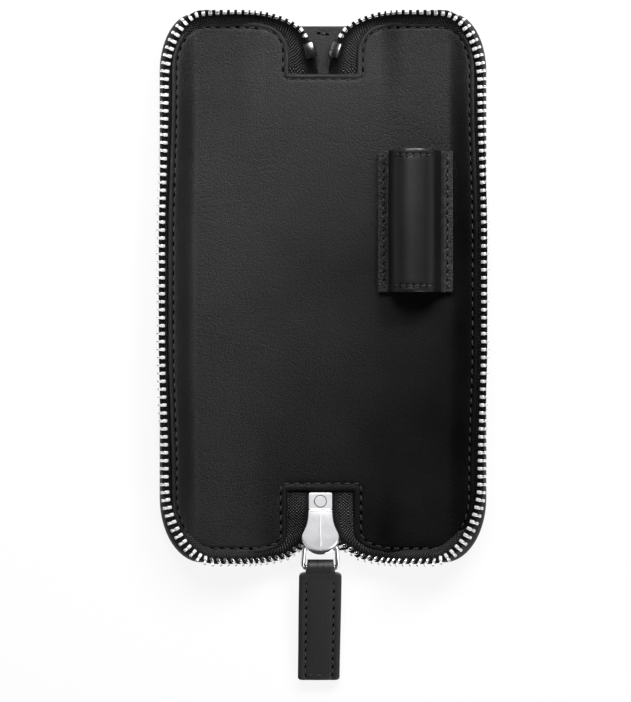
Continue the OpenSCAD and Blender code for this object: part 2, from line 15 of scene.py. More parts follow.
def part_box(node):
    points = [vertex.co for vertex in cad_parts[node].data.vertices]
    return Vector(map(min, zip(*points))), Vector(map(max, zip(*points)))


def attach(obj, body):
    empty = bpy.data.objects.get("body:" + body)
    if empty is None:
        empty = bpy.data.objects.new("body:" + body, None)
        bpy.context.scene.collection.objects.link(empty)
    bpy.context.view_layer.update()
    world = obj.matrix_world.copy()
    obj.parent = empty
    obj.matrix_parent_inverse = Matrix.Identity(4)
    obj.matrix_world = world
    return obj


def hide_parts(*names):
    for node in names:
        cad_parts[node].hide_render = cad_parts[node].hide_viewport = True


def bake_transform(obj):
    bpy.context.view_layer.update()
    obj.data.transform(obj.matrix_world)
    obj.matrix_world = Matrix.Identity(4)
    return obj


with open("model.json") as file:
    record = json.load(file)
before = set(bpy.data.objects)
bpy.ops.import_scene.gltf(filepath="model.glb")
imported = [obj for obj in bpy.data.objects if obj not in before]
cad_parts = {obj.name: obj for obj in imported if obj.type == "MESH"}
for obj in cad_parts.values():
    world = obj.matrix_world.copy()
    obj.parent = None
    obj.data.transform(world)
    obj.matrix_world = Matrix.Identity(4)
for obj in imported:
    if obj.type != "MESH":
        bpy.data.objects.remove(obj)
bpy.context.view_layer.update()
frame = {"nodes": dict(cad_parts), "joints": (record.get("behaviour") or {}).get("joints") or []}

MM = 0.001


# ---- sizes from the frame

def low(node, axis):
    """Lowest coordinate of a CAD node along an axis, in millimetres."""
    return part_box(node)[0]["xyz".index(axis)] / MM


def high(node, axis):
    """Highest coordinate of a CAD node along an axis, in millimetres."""
    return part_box(node)[1]["xyz".index(axis)] / MM


def mid(node, axis):
    """Middle of a CAD node along an axis, in millimetres."""
    return (low(node, axis) + high(node, axis)) / 2


def half_size(node, axis):
    """Half of a CAD node's size along an axis, in millimetres."""
    return (high(node, axis) - low(node, axis)) / 2


def joint_place(name):
    """Where a joint sits, in millimetres."""
    joint = next(j for j in frame["joints"] if j["name"] == name)
    return Vector(joint["pos_m"]) / MM


HALF_X = high("right_cover", "x")
HALF_Y = high("right_cover", "y")
RIM_Z = high("right_lining", "z")
LEATHER_T = high("spine_cover", "z")
FOLD_Y = high("spine_cover", "y")
SPINE_DIP = HALF_Y - FOLD_Y
FLOOR_Z = high("spine_lining", "z")
FOLD = joint_place("right_fold")
SLIDER_X = mid("slider_plate", "x")
NOSE_Y = low("slider_cap", "y")
CROWN_Z = low("slider_plate", "z")
CHAIN_Z = mid("spine_teeth", "z")
TOP_WINDOW_Y = high("spine_lining", "y")
BAIL_BAR = joint_place("bail_swing")
PULL_BAR = joint_place("pull_swing")

# Sizes that no box of the frame gives
BOTTOM_WINDOW_Y = -62.8
LINING_INSET = 2.5
SEAM_INSET = 1.8
STITCH_PITCH = 3.0
STITCH_LEN = 2.1
THREAD_R = 0.22
TOOTH_PITCH = 2.455
CHAIN_TOP_Z = 10.0
CHAIN_X, CHAIN_LOW_Y, CHAIN_HIGH_Y = 50.15, 84.6, 85.2
# Where the border starts to rise from the spine, and where it has its full height
RAMP_START, RAMP_END = FOLD.x + 6.9, FOLD.x + 14.4
# Where the ends have their full length
DIP_END = FOLD.x + 11.4


# ---- small maths

def clamp(value):
    return min(1.0, max(0.0, value))


def smooth(value):
    t = clamp(value)
    return t * t * (3 - 2 * t)


def bell_curve(value, width):
    """1 where value is 0, falling off over the width."""
    return math.exp(-(value / width) ** 2)


def mix(a, b, t):
    return a + (b - a) * t


def mix_points(a, b, t):
    return tuple(mix(p, q, t) for p, q in zip(a, b))


def spread(a, b, count):
    """count + 1 even steps from a to b."""
    return [mix(a, b, i / count) for i in range(count + 1)]


def rise(x):
    """Share of a leaf's full height that its border has at x."""
    return smooth((abs(x) - RAMP_START) / (RAMP_END - RAMP_START))


def dip(x, y):
    """How far the ends draw in towards the spine."""
    t = clamp((DIP_END - abs(x)) / (DIP_END - FOLD.x))
    return SPINE_DIP * t * t * smooth((abs(y) - 67) / 13)


def pinch(x, y):
    """How far the sides draw in towards the corners."""
    return 1.1 * smooth((abs(y) - 15) / 45) * smooth((abs(x) - 30) / 18)


def settle(x, y, drawn=1.0):
    """Place of a point of the flat pattern in the made-up case; drawn is its share of the pinch."""
    return (x - math.copysign(pinch(x, y), x) * drawn, y - math.copysign(dip(x, y), y))


def ripple(x, y, size, height, seed=0.0):
    """A soft uneven swell, from -height to height."""
    return height * noise.noise(Vector((x / size, y / size, seed)))


# ---- meshes

def make(name, points, faces, materials, uv=None, slots=None, shade_smooth=True, weld=0.0):
    """A mesh object from points in millimetres, with a UV pair for each point and a slot for each face."""
    mesh = bpy.data.meshes.new(name)
    mesh.from_pydata([Vector(p) * MM for p in points], [], faces)
    for material in materials:
        mesh.materials.append(material)
    if slots:
        mesh.polygons.foreach_set("material_index", slots)
    if uv:
        layer = mesh.uv_layers.new(name="UVMap")
        for loop in mesh.loops:
            layer.data[loop.index].uv = uv[loop.vertex_index]
    bm = bmesh.new()
    bm.from_mesh(mesh)
    if weld:
        bmesh.ops.remove_doubles(bm, verts=bm.verts, dist=weld * MM)
    bmesh.ops.recalc_face_normals(bm, faces=bm.faces)
    bm.to_mesh(mesh)
    bm.free()
    mesh.polygons.foreach_set("use_smooth", [shade_smooth] * len(mesh.polygons))
    piece = bpy.data.objects.new(name, mesh)
    bpy.context.scene.collection.objects.link(piece)
    return piece


def shade_by_angle(piece, degrees):
    """Smooth shading that keeps edges sharper than the angle."""
    bpy.context.view_layer.objects.active = piece
    piece.select_set(True)
    bpy.ops.object.shade_smooth_by_angle(angle=math.radians(degrees))
    piece.select_set(False)


def flipped(points):
    """Points mirrored to the other side of X = 0, last one first."""
    return [(-x, y) for x, y in reversed(points)]


def angles(count, shift=0):
    """Even angles round a full turn."""
    return [math.tau * (i + shift) / count for i in range(count)]


class Shape:
    """Points and faces that gather into one mesh; new faces take the material of the current slot."""

    def __init__(self):
        self.points, self.faces, self.uv, self.slots = [], [], [], []
        self.slot = 0

    def face(self, corners):
        self.faces.append(corners)
        self.slots.append(self.slot)

    def grid(self, rows, closed=False, uv=None):
        """Quads between rows of the same length; closed joins each row's ends."""
        base, width = len(self.points), len(rows[0])
        for j, row in enumerate(rows):
            self.points += row
            self.uv += uv[j] if uv else [(0, 0)] * width
        for j in range(len(rows) - 1):
            for i in range(width if closed else width - 1):
                k = (i + 1) % width
                a, b = base + j * width, base + (j + 1) * width
                self.face((a + i, a + k, b + k, b + i))

    def fan(self, row):
        """One face over a closed row."""
        base = len(self.points)
        self.points += row
        self.uv += [(0, 0)] * len(row)
        self.face(tuple(range(base, base + len(row))))

    def loft(self, rows, uv=None):
        """A closed solid through closed rows, with a face over each end."""
        self.grid(rows, closed=True, uv=uv)
        self.fan(rows[0])
        self.fan(rows[-1])

    def piece(self, name, *materials, weld=0.01, crease=None):
        """The mesh object; edges sharper than crease, in degrees, stay sharp."""
        uv = self.uv if any(u != (0, 0) for u in self.uv) else None
        piece = make(name, self.points, self.faces, materials, uv, self.slots, True, weld)
        if crease:
            shade_by_angle(piece, crease)
        return piece


def mirrored(points, side):
    """Points of the +X side, taken to the side asked for."""
    return [(side * p[0], p[1], p[2]) for p in points]


def side_name(side):
    return "right" if side > 0 else "left"


def settle_half(piece, side, slot, *nodes):
    """Bakes a soft piece's place into its mesh and hides the nodes it stands for; slot is not used."""
    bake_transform(piece)
    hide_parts(*nodes)


def settle_piece(piece, slot, body, *nodes):
    """Attaches a rigid piece to the body that it rides on and hides the nodes that it stands for; slot is
    not used.
    """
    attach(piece, body)
    if nodes:
        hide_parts(*nodes)


# ---- paths

def arc(cx, cy, rx, ry, start, end, count):
    """Points of an elliptical arc, in degrees, without its first point."""
    return [(cx + rx * math.cos(math.radians(a)), cy + ry * math.sin(math.radians(a)))
            for a in spread(start, end, count)[1:]]


def line(x0, y0, x1, y1, count):
    """Even points of a straight stretch, without its first point."""
    return list(zip(spread(x0, x1, count)[1:], spread(y0, y1, count)[1:]))


END_STEPS, CORNER_STEPS, SIDE_STEPS = 20, 14, 60


def border_path(x_start, side_x, low_y, high_y, low_r, high_r):
    """A leaf's border on the flat, from x_start at the lower end round to the upper end."""
    (lx, ly), (hx, hy) = low_r, high_r
    return ([(x_start, -low_y)]
            + line(x_start, -low_y, side_x - lx, -low_y, END_STEPS)
            + arc(side_x - lx, -low_y + ly, lx, ly, -90, 0, CORNER_STEPS)
            + line(side_x, -low_y + ly, side_x, high_y - hy, SIDE_STEPS)
            + arc(side_x - hx, high_y - hy, hx, hy, 0, 90, CORNER_STEPS)
            + line(side_x - hx, high_y, x_start, high_y, END_STEPS))


def inward(path):
    """Unit normals that point into the leaf, one for each point of a path."""
    found = []
    for i in range(len(path)):
        a, b = path[max(0, i - 1)], path[min(len(path) - 1, i + 1)]
        dx, dy = b[0] - a[0], b[1] - a[1]
        size = math.hypot(dx, dy)
        found.append((-dy / size, dx / size))
    return found


class Route:
    """A polyline that gives its place and heading at any length along it."""

    def __init__(self, points):
        self.points = [Vector(p) for p in points]
        self.marks = [0.0]
        for a, b in zip(self.points, self.points[1:]):
            self.marks.append(self.marks[-1] + (b - a).length)
        self.length = self.marks[-1]

    def at(self, s):
        """Place at length s, and the unit heading there."""
        s = min(max(s, 0.0), self.length)
        i = next((k for k in range(1, len(self.marks)) if self.marks[k] >= s), len(self.marks) - 1)
        a, b = self.points[i - 1], self.points[i]
        t = (s - self.marks[i - 1]) / max(1e-9, self.marks[i] - self.marks[i - 1])
        return a.lerp(b, t), (b - a).normalized()


# ---- materials

class Finish:
    """A material of one Principled shader, with helpers that add and join nodes."""

    def __init__(self, name, **sockets):
        self.material = bpy.data.materials.new(name)
        self.material.use_nodes = True
        self.tree = self.material.node_tree
        self.shader = self.tree.nodes["Principled BSDF"]
        for socket, value in sockets.items():
            self.shader.inputs[socket.replace("_", " ")].default_value = value

    def add(self, kind, inputs=None, **settings):
        """A node; inputs maps a socket's name or number to a value or to another node's output."""
        node = self.tree.nodes.new("ShaderNode" + kind)
        for name, value in settings.items():
            setattr(node, name, value)
        for key, value in (inputs or {}).items():
            if isinstance(value, bpy.types.NodeSocket):
                self.tree.links.new(value, node.inputs[key])
            else:
                node.inputs[key].default_value = value
        return node

    def places(self):
        """Coordinates in millimetres."""
        source = self.add("TexCoord").outputs["Object"]
        return self.add("VectorMath", {0: source, 3: 1 / MM}, operation="SCALE").outputs[0]

    def noise(self, places, size, detail=2.0):
        """Noise with features of a size in millimetres."""
        sockets = {"Vector": places, "Scale": 1 / size, "Detail": detail}
        return self.add("TexNoise", sockets).outputs["Fac"]

    def bent(self, places, scale):
        """Coordinates that wander, so that what is drawn on them curls."""
        drift = self.add("TexNoise", {"Vector": places, "Scale": scale, "Detail": 2.0}).outputs["Color"]
        return self.add("VectorMath", {0: places, 1: drift}, operation="ADD").outputs[0]

    def span(self, value, low_in, high_in, low_out, high_out):
        """A value stretched from one range to another."""
        sockets = {"Value": value, "From Min": low_in, "From Max": high_in}
        sockets.update({"To Min": low_out, "To Max": high_out})
        return self.add("MapRange", sockets).outputs[0]

    def maths(self, operation, a, b=0.0):
        return self.add("Math", {0: a, 1: b}, operation=operation).outputs[0]

    def total(self, *parts):
        """The sum of values, each given with its share."""
        found = None
        for value, share in parts:
            part = self.maths("MULTIPLY", value, share)
            found = self.maths("ADD", found, part) if found else part
        return found

    def tint(self, value, dark, light):
        """The base colour runs from dark to light with a value."""
        mixer = self.add("Mix", {0: value, 6: (*dark, 1), 7: (*light, 1)}, data_type="RGBA")
        self.tree.links.new(mixer.outputs[2], self.shader.inputs["Base Color"])

    def rough(self, value):
        self.tree.links.new(value, self.shader.inputs["Roughness"])

    def bump(self, height, depth):
        """Relief of a depth in millimetres."""
        node = self.add("Bump", {"Height": height, "Strength": 1.0, "Distance": depth * MM})
        self.tree.links.new(node.outputs[0], self.shader.inputs["Normal"])


def paint_shade_by_gloss(f, full, shaded_gloss):
    """Painted shade: makes leather less glossy towards its lower right, and a little towards its lower end,
    so that it looks darker there as if less light fell on it.
    """
    parts = f.add("SeparateXYZ", {0: f.places()})
    to_right = f.span(parts.outputs[0], -32.0, 42.0, 0.0, 1.0)
    to_low = f.span(parts.outputs[1], 64.0, 8.0, 0.0, 1.0)
    lowest = f.span(parts.outputs[1], -15.0, -75.0, 0.0, 1.0)
    # painted shade: the sheen falls off towards the lower right and the lower end
    painted_shade = f.total((f.maths("MULTIPLY", to_right, to_low), 1.0), (lowest, 0.3))
    f.tree.links.new(f.span(painted_shade, 0.0, 1.0, full, shaded_gloss), f.shader.inputs["Specular IOR Level"])


def leather(name, dark, light, roughness, grain, depth, specular=0.2, shaded_gloss=None):
    """Grained leather: closed cells with fine creases between them, in lighter and darker patches."""
    f = Finish(name, Specular_IOR_Level=specular)
    places = f.places()
    cell = f.add("TexVoronoi", {"Vector": f.bent(places, 0.9), "Scale": 1 / grain}, feature="SMOOTH_F1")
    cells = cell.outputs["Distance"]
    fine = f.noise(places, grain * 0.35, 3.0)
    swell = f.noise(places, 7.0, 2.0)
    patch = f.noise(places, 24.0, 3.0)
    f.bump(f.total((cells, -1.0), (fine, 0.9), (swell, 0.8)), depth)
    f.tint(f.span(f.total((patch, 0.45), (fine, 0.55)), 0.35, 0.65, 0.0, 1.0), dark, light)
    f.rough(f.span(f.total((patch, 0.5), (fine, 0.5)), 0.35, 0.65, roughness - 0.05, roughness + 0.05))
    # painted shade: a gloss that falls off towards the lower right, where one is given
    if shaded_gloss is not None:
        paint_shade_by_gloss(f, specular, shaded_gloss)
    return f.material


def suede(name, dark, light):
    """The fuzzy raw side of leather, with curled tufts and pits between them."""
    f = Finish(name, Specular_IOR_Level=0.3, Sheen_Weight=0.03, Sheen_Roughness=0.5)
    places = f.places()
    tufts = f.add("TexVoronoi", {"Vector": f.bent(places, 1.4), "Scale": 1.25}).outputs["Distance"]
    fuzz = f.noise(places, 0.4, 3.0)
    f.bump(f.total((tufts, 1.0), (fuzz, 1.2)), 0.5)
    f.tint(f.span(f.total((tufts, 0.6), (fuzz, 1.0)), 0.55, 1.05, 0.0, 1.0), dark, light)
    f.rough(f.span(fuzz, 0.3, 0.7, 0.5, 0.75))
    return f.material


def woven(name, dark, light, rib=0.95, column=2.6):
    """Herringbone tape by UV in millimetres: ribs that turn over at each column, painted dark beside the
    teeth as the shade that the chain casts there.
    """
    f = Finish(name, Specular_IOR_Level=0.15)
    parts = f.add("SeparateXYZ", {0: f.add("TexCoord").outputs["UV"]})
    along, across = parts.outputs[0], parts.outputs[1]
    fold = f.maths("PINGPONG", across, column)
    turn = math.tau / rib
    ribs = f.maths("SINE", f.maths("MULTIPLY", f.maths("ADD", along, fold), turn))
    picks = f.maths("SINE", f.maths("MULTIPLY", f.maths("SUBTRACT", along, fold), turn * 0.9))
    fuzz = f.noise(f.places(), 0.2, 2.0)
    weave = f.total((ribs, 0.6), (picks, 0.5), (fuzz, 0.8))
    f.bump(weave, 0.14)
    # painted shade: the tape is black beside the teeth, where the chain shades it
    past_painted_shade = f.span(across, 3.4, 5.4, 0.0, 1.0)
    f.tint(f.maths("MULTIPLY", f.span(weave, 0.85, 1.5, 0.0, 1.0), past_painted_shade), dark, light)
    f.rough(f.span(fuzz, 0.3, 0.7, 0.5, 0.75))
    return f.material


def metal(name, dark, light, roughness, depth=0.01, metallic=1.0, brushed=(1.0, 1.0, 1.0), uneven=0.3):
    """Metal with a faint grain, drawn out along one axis where it was brushed, and rubbed patches."""
    f = Finish(name, Metallic=metallic)
    drawn = f.add("VectorMath", {0: f.places(), 1: brushed}, operation="MULTIPLY").outputs[0]
    lines = f.noise(drawn, 0.18, 3.0)
    patch = f.noise(f.places(), 2.6, 3.0)
    f.bump(f.total((lines, 1.0), (patch, 0.4)), depth)
    f.tint(f.span(f.total((lines, 0.5), (patch, 0.5)), 0.35, 0.65, 0.0, 1.0), dark, light)
    f.rough(f.span(patch, 0.3, 0.7, roughness * (1 - uneven), roughness * (1 + uneven)))
    return f.material


def thread_finish(name, dark, light):
    """Waxed sewing thread: plies that twist round it, by UV."""
    f = Finish(name, Specular_IOR_Level=0.5, Sheen_Weight=0.1)
    parts = f.add("SeparateXYZ", {0: f.add("TexCoord").outputs["UV"]})
    turn = f.total((parts.outputs[0], 9.0), (parts.outputs[1], math.tau))
    plies = f.maths("SINE", turn)
    fuzz = f.noise(f.places(), 0.1, 2.0)
    f.bump(f.total((plies, 1.0), (fuzz, 1.0)), 0.05)
    f.tint(f.span(f.total((plies, 1.0), (fuzz, 1.0)), -0.6, 1.6, 0.0, 1.0), dark, light)
    f.rough(f.span(fuzz, 0.3, 0.7, 0.35, 0.6))
    return f.material


def fibre_board(name, dark, light):
    """Pressed board with short fibres."""
    f = Finish(name, Specular_IOR_Level=0.2)
    drawn = f.add("VectorMath", {0: f.places(), 1: (1.0, 0.2, 1.0)}, operation="MULTIPLY").outputs[0]
    fibres = f.noise(drawn, 0.3, 4.0)
    f.bump(fibres, 0.08)
    f.tint(f.span(fibres, 0.35, 0.65, 0.0, 1.0), dark, light)
    f.rough(f.span(fibres, 0.3, 0.7, 0.8, 0.95))
    return f.material


def grey(value):
    return (value, value, value * 1.02)


OUTER_LEATHER = leather("outer_leather", grey(0.008), grey(0.016), 0.46, 1.1, 0.06, 0.35)
# the lining's gloss falls off towards its lower right as painted shade
LINING_LEATHER = leather("lining_leather", grey(0.001), grey(0.007), 0.42, 0.42, 0.12, 0.31, 0.03)
LOOP_LEATHER = leather("loop_leather", grey(0.002), grey(0.006), 0.4, 0.6, 0.02, 0.45)
PULL_LEATHER = leather("pull_leather", grey(0.012), grey(0.022), 0.45, 0.6, 0.03, 0.35)
LOOP_SUEDE = suede("loop_suede", grey(0.0005), grey(0.032))
TAPE = woven("zip_tape", grey(0.0), grey(0.17))
THREAD = thread_finish("thread", grey(0.002), grey(0.014))
# painted shade: flat black ellipses that stand for the shade in the needle holes
NEEDLE_HOLE_SHADE = leather("needle_hole_shade", grey(0.0), grey(0.001), 0.9, 0.3, 0.03, 0.0)
TOOTH_METAL = metal("zip_teeth", grey(0.74), grey(0.9), 0.26, metallic=0.4)
# painted shade: a darker copy of the teeth's metal, for the legs along the bottom
SHADED_LEG_METAL = metal("zip_tooth_legs_shaded", grey(0.3), grey(0.5), 0.2)
END_CAP_METAL = metal("end_cap_metal", grey(0.14), grey(0.24), 0.22)
SATIN_METAL = metal("slider_metal", grey(0.8), grey(0.88), 0.36, 0.005, 0.4, (1.0, 0.2, 1.0), 0.12)
# painted shade: dark metal for the engraved groove, where shade would fall
ENGRAVING_SHADE_METAL = metal("slider_engraving_shade", grey(0.1), grey(0.18), 0.5)
EDGE_METAL = metal("slider_edge", grey(0.78), grey(0.92), 0.16)
# painted highlight: near white and little metallic, for the slider's ridge
RIDGE_HIGHLIGHT_METAL = metal("slider_ridge_highlight", grey(0.92), grey(1.0), 0.3, metallic=0.1)
BAIL_METAL = metal("bail_wire", grey(0.7), grey(0.9), 0.2, metallic=0.9)
BOARD = fibre_board("stiffener", grey(0.008), grey(0.03))


# ---- stage, camera and lights

CAMERA_HEIGHT = 1600
MM_PER_PIXEL = 0.31
IMAGE_W, IMAGE_H = 631, 702
# Pixel of the image that shows the middle of the case
CASE_COLUMN, CASE_ROW = 323, 288.3
VIEW_CENTRE = ((IMAGE_W / 2 - CASE_COLUMN) * MM_PER_PIXEL, (CASE_ROW - IMAGE_H / 2) * MM_PER_PIXEL)


def add_camera():
    """A camera straight above the case."""
    data = bpy.data.cameras.new("camera")
    data.sensor_width = 36
    data.lens = data.sensor_width * CAMERA_HEIGHT / (IMAGE_H * MM_PER_PIXEL)
    camera = bpy.data.objects.new("camera", data)
    camera.location = Vector((*VIEW_CENTRE, CAMERA_HEIGHT)) * MM
    bpy.context.scene.collection.objects.link(camera)
    bpy.context.scene.camera = camera


def add_lamp(name, place, size, watts):
    """A square soft box at a place in millimetres, turned to the middle of the case."""
    data = bpy.data.lights.new(name, "AREA")
    data.shape = "SQUARE"
    data.size = size * MM
    data.energy = watts
    lamp = bpy.data.objects.new(name, data)
    lamp.location = Vector(place) * MM
    lamp.rotation_euler = (-lamp.location).to_track_quat("-Z", "Y").to_euler()
    bpy.context.scene.collection.objects.link(lamp)


def white_background(f, share):
    """Mixes plain white into a material, only for the camera and for what metal and glass reflect."""
    path = f.add("LightPath").outputs
    rays = f.maths("MAXIMUM", path["Is Camera Ray"], path["Is Glossy Ray"])
    rays = f.maths("MAXIMUM", rays, path["Is Transmission Ray"])
    white = f.add("Emission", {"Color": (1, 1, 1, 1)}).outputs[0]
    share = f.maths("MULTIPLY", rays, share)
    mixed = f.add("MixShader", {0: share, 1: f.shader.outputs[0], 2: white}).outputs[0]
    f.tree.links.new(mixed, f.tree.nodes["Material Output"].inputs["Surface"])


def add_floor():
    """A pale floor that keeps a faint shadow under the case."""
    size = 3000
    corners = [(-size, -size, 0), (size, -size, 0), (size, size, 0), (-size, size, 0)]
    f = Finish("floor", Base_Color=(0.9, 0.9, 0.9, 1), Roughness=0.9, Specular_IOR_Level=0.1)
    white_background(f, 0.88)
    make("floor", corners, [(0, 1, 2, 3)], [f.material], shade_smooth=False)


def add_world(horizon, zenith):
    """A plain studio: pale walls all round, and a darker ceiling over the case."""
    world = bpy.data.worlds.new("studio")
    world.use_nodes = True
    tree = world.node_tree
    coords = tree.nodes.new("ShaderNodeTexCoord")
    parts = tree.nodes.new("ShaderNodeSeparateXYZ")
    height = tree.nodes.new("ShaderNodeMapRange")
    light = tree.nodes["Background"]
    tree.links.new(coords.outputs["Generated"], parts.inputs[0])
    tree.links.new(parts.outputs["Z"], height.inputs["Value"])
    height.interpolation_type = "SMOOTHSTEP"
    for socket, value in (("From Min", 0.05), ("From Max", 0.45), ("To Min", horizon), ("To Max", zenith)):
        height.inputs[socket].default_value = value
    light.inputs["Color"].default_value = (1, 1, 1, 1)
    tree.links.new(height.outputs[0], light.inputs["Strength"])
    bpy.context.scene.world = world


add_camera()
add_world(horizon=0.7, zenith=0.06)
add_lamp("key", (230, 380, 340), 200, 3.0)
add_lamp("back", (0, 380, 420), 300, 1.0)
add_lamp("overhead", (-60, 230, 330), 160, 1.0)
add_lamp("front", (260, -450, 330), 260, 1.0)
add_floor()
bpy.context.scene.view_settings.view_transform = "Standard"


# ---- outer cover

# Corners of the outline: long at the lower end, shorter at the upper one
COVER_LOW_R, COVER_HIGH_R = (13.0, 20.0), (10.5, 18.0)
# Corners of the rim, which follows the chain
RIM_LOW_R, RIM_HIGH_R = (16, 24), (12, 21)


def cover_rings():
    """Half of the outer leather in rings, from its flat underside out, up, and in over the tape."""
    outer = border_path(0, HALF_X, HALF_Y, HALF_Y, COVER_LOW_R, COVER_HIGH_R)
    rim = border_path(0, CHAIN_X - 0.9, CHAIN_LOW_Y - 1.2, CHAIN_HIGH_Y - 1.5, RIM_LOW_R, RIM_HIGH_R)
    normals = inward(outer)

    def ring(inset, z, fold_inset, fold_z, towards=0.0):
        """One ring; towards moves it from the outline to the rim's own path."""
        row = []
        for (x, y), (nx, ny), (rx, ry) in zip(outer, normals, rim):
            m = rise(x)
            d = mix(fold_inset, inset, m)
            px, py = mix(x + nx * d, rx, towards * m), mix(y + ny * d, ry, towards * m)
            px, py = settle(max(px, 0), py, towards * m)
            row.append((px, py, mix(fold_z, z, m)))
        return row

    t = LEATHER_T
    under = [ring(5.8, 0, 3.4, 0), ring(5.3, 0.02, 2.2, 0), ring(4.4, 0.13, 1.6, 0), ring(3.0, 0.5, 1.1, 0),
             ring(1.8, 1.2, 0.6, 0), ring(0.9, 2.2, 0.3, 0.05), ring(0.3, 3.3, 0.05, 0.2)]
    edge = [ring(0, 4.4, 0, 0.4), ring(0.05, 5.3, 0, 0.6), ring(0.3, 6.2, 0, 0.8, 0.15),
            ring(0.55, 6.9, 0.1, 0.98, 0.5), ring(0.8, 7.2, 0.25, t - 0.06, 0.8)]
    inside = [ring(1.4, 7.15, 0.45, t, 0.95), ring(1.9, 6.6, 0.8, t, 1.0), ring(2.2, 5.6, 1.3, t, 0.9),
              ring(2.6, 3.6, 2.1, t, 0.5), ring(4.5, t + 0.1, 2.8, t, 0), ring(5.8, t, 3.0, t)]
    return under + edge + inside


def flat_middle(ring):
    """Rows across the leather inside a ring, from its lower end to its upper one."""
    turn = END_STEPS + CORNER_STEPS
    return [[mix_points(ring[i], ring[-1 - i], v) for i in range(turn)] + [ring[turn + j]]
            for j, v in enumerate(spread(0, 1, SIDE_STEPS))]


def cover_half(side):
    """Half of the outer leather: a shallow tray whose rim turns in over the tape."""
    rings = cover_rings()
    shape = Shape()
    for rows in (rings, flat_middle(rings[0]), flat_middle(rings[-1])):
        shape.grid([mirrored(row, side) for row in rows])
    name = side_name(side)
    piece = shape.piece(name + "_outer_cover", OUTER_LEATHER)
    settle_half(piece, side, "outer_leather", name + "_cover", "spine_cover")


# ---- lining

LINING_X = HALF_X - LINING_INSET
LINING_Y = HALF_Y - LINING_INSET
LINING_LOW_R, LINING_HIGH_R = (14.0, 18.0), (11.0, 15.0)
# Edge of the windows on each side of the spine, and the corners where the windows open out
LOW_WINDOW_X = {-1: 11.1, 1: 9.25}
HIGH_WINDOW_X = 10.4
LOW_WINDOW_R, HIGH_WINDOW_R = 3.0, 6.0
# Stitching beside the windows, from their edges
LOW_STRIP = {-1: 1.95, 1: 2.5}
HIGH_STRIP = 2.0
WINDOW_STEPS, INNER_STEPS, OUTWARD_STEPS = 7, 8, 12
# Rows over the spine between the windows, close together at both seams
PANEL_SPAN = TOP_WINDOW_Y - BOTTOM_WINDOW_Y
PANEL_END = [0, 0.12, 0.35, 0.6, 0.9, 1.2, 1.5, 1.8, 2.1, 2.4, 2.8, 3.3, 4.2, 6.0]
PANEL_PLACES = PANEL_END + spread(9, PANEL_SPAN - 9, 44) + [PANEL_SPAN - d for d in reversed(PANEL_END)]
PANEL_ROWS = len(PANEL_PLACES) - 1
LOW_ROW_INSET = 2.3
# Width of the border that is built in rings, and of the slopes from the rim to the floor
BAND = 6.2
SIDE_SLOPE, END_SLOPE = 8.5, 42.0
# Share of the rim's height that the lining reaches along the ends
END_RIM = 0.45


def lining_path(side, inset):
    """A line on the flat, inset from the lining's edge, from the bottom window round to the top one."""
    low_x = LOW_WINDOW_X[side] + inset * LOW_STRIP[side] / SEAM_INSET
    high_x = HIGH_WINDOW_X + inset * HIGH_STRIP / SEAM_INSET
    X, Y = LINING_X - inset, LINING_Y - inset
    low_r, high_r = max(0.8, LOW_WINDOW_R - inset), max(0.8, HIGH_WINDOW_R - inset)
    lx, ly = (r - inset for r in LINING_LOW_R)
    hx, hy = (r - inset for r in LINING_HIGH_R)
    side_steps = PANEL_ROWS + 2 * WINDOW_STEPS + INNER_STEPS - CORNER_STEPS
    return ([(low_x, BOTTOM_WINDOW_Y)]
            + line(low_x, BOTTOM_WINDOW_Y, low_x, -Y + low_r, WINDOW_STEPS)
            + arc(low_x + low_r, -Y + low_r, low_r, low_r, 180, 270, INNER_STEPS)
            + line(low_x + low_r, -Y, X - lx, -Y, OUTWARD_STEPS)
            + arc(X - lx, -Y + ly, lx, ly, -90, 0, CORNER_STEPS)
            + line(X, -Y + ly, X, Y - hy, side_steps)
            + arc(X - hx, Y - hy, hx, hy, 0, 90, CORNER_STEPS)
            + line(X - hx, Y, high_x + high_r, Y, OUTWARD_STEPS)
            + arc(high_x + high_r, Y - high_r, high_r, high_r, 90, 180, INNER_STEPS)
            + line(high_x, Y - high_r, high_x, TOP_WINDOW_Y, WINDOW_STEPS))


LINING_EDGE = {side: lining_path(side, 0) for side in (-1, 1)}
LINING_BAND = {side: lining_path(side, BAND) for side in (-1, 1)}


def swell(x, y):
    """The lining's soft unevenness at a place of the made-up case."""
    return ripple(x, y, 34, 0.22, 3.0) + ripple(x, y, 11, 0.07, 8.0)


def dish_height(x, y):
    """Height of the lining's dish at a place on the flat."""
    up_side = 1 - smooth((LINING_X - abs(x) - 0.4) / SIDE_SLOPE)
    up_end = END_RIM * (1 - clamp((LINING_Y - abs(y) - 0.4) / END_SLOPE)) ** 1.6
    return mix(FLOOR_Z, RIM_Z, (1 - (1 - up_side) * (1 - up_end)) * rise(x))


def strip_height(d, seam, tilt=0.0):
    """Relief along an edge: a plump strip that is drawn down by the seam and rounded at the edge."""
    t = clamp(d / seam)
    plump = 0.12 * math.sin(math.pi * t) + tilt * (1 - t)
    return plump - 0.2 * bell_curve(d - seam, 0.45) - 0.5 * clamp((0.35 - d) / 0.35) ** 2


def lining_point(side, i, d):
    """A point of the lining at station i of its edge, d in from it."""
    (x0, y0), (x1, y1) = LINING_EDGE[side][i], LINING_BAND[side][i]
    x, y = mix(x0, x1, d / BAND), mix(y0, y1, d / BAND)
    z = dish_height(x, y) + strip_height(d, SEAM_INSET, 0.15 * rise(x))
    x, y = settle(x, y)
    return (side * x, y, z + swell(side * x, y))


def lining_skirt(side, drop, turn):
    """The lining's edge turned under: a ring below the edge, turn in from it."""
    row = []
    for i, (nx, ny) in enumerate(inward(LINING_EDGE[side])):
        x, y, z = lining_point(side, i, 0)
        row.append((x + side * nx * turn, y + ny * turn, z - drop))
    return row


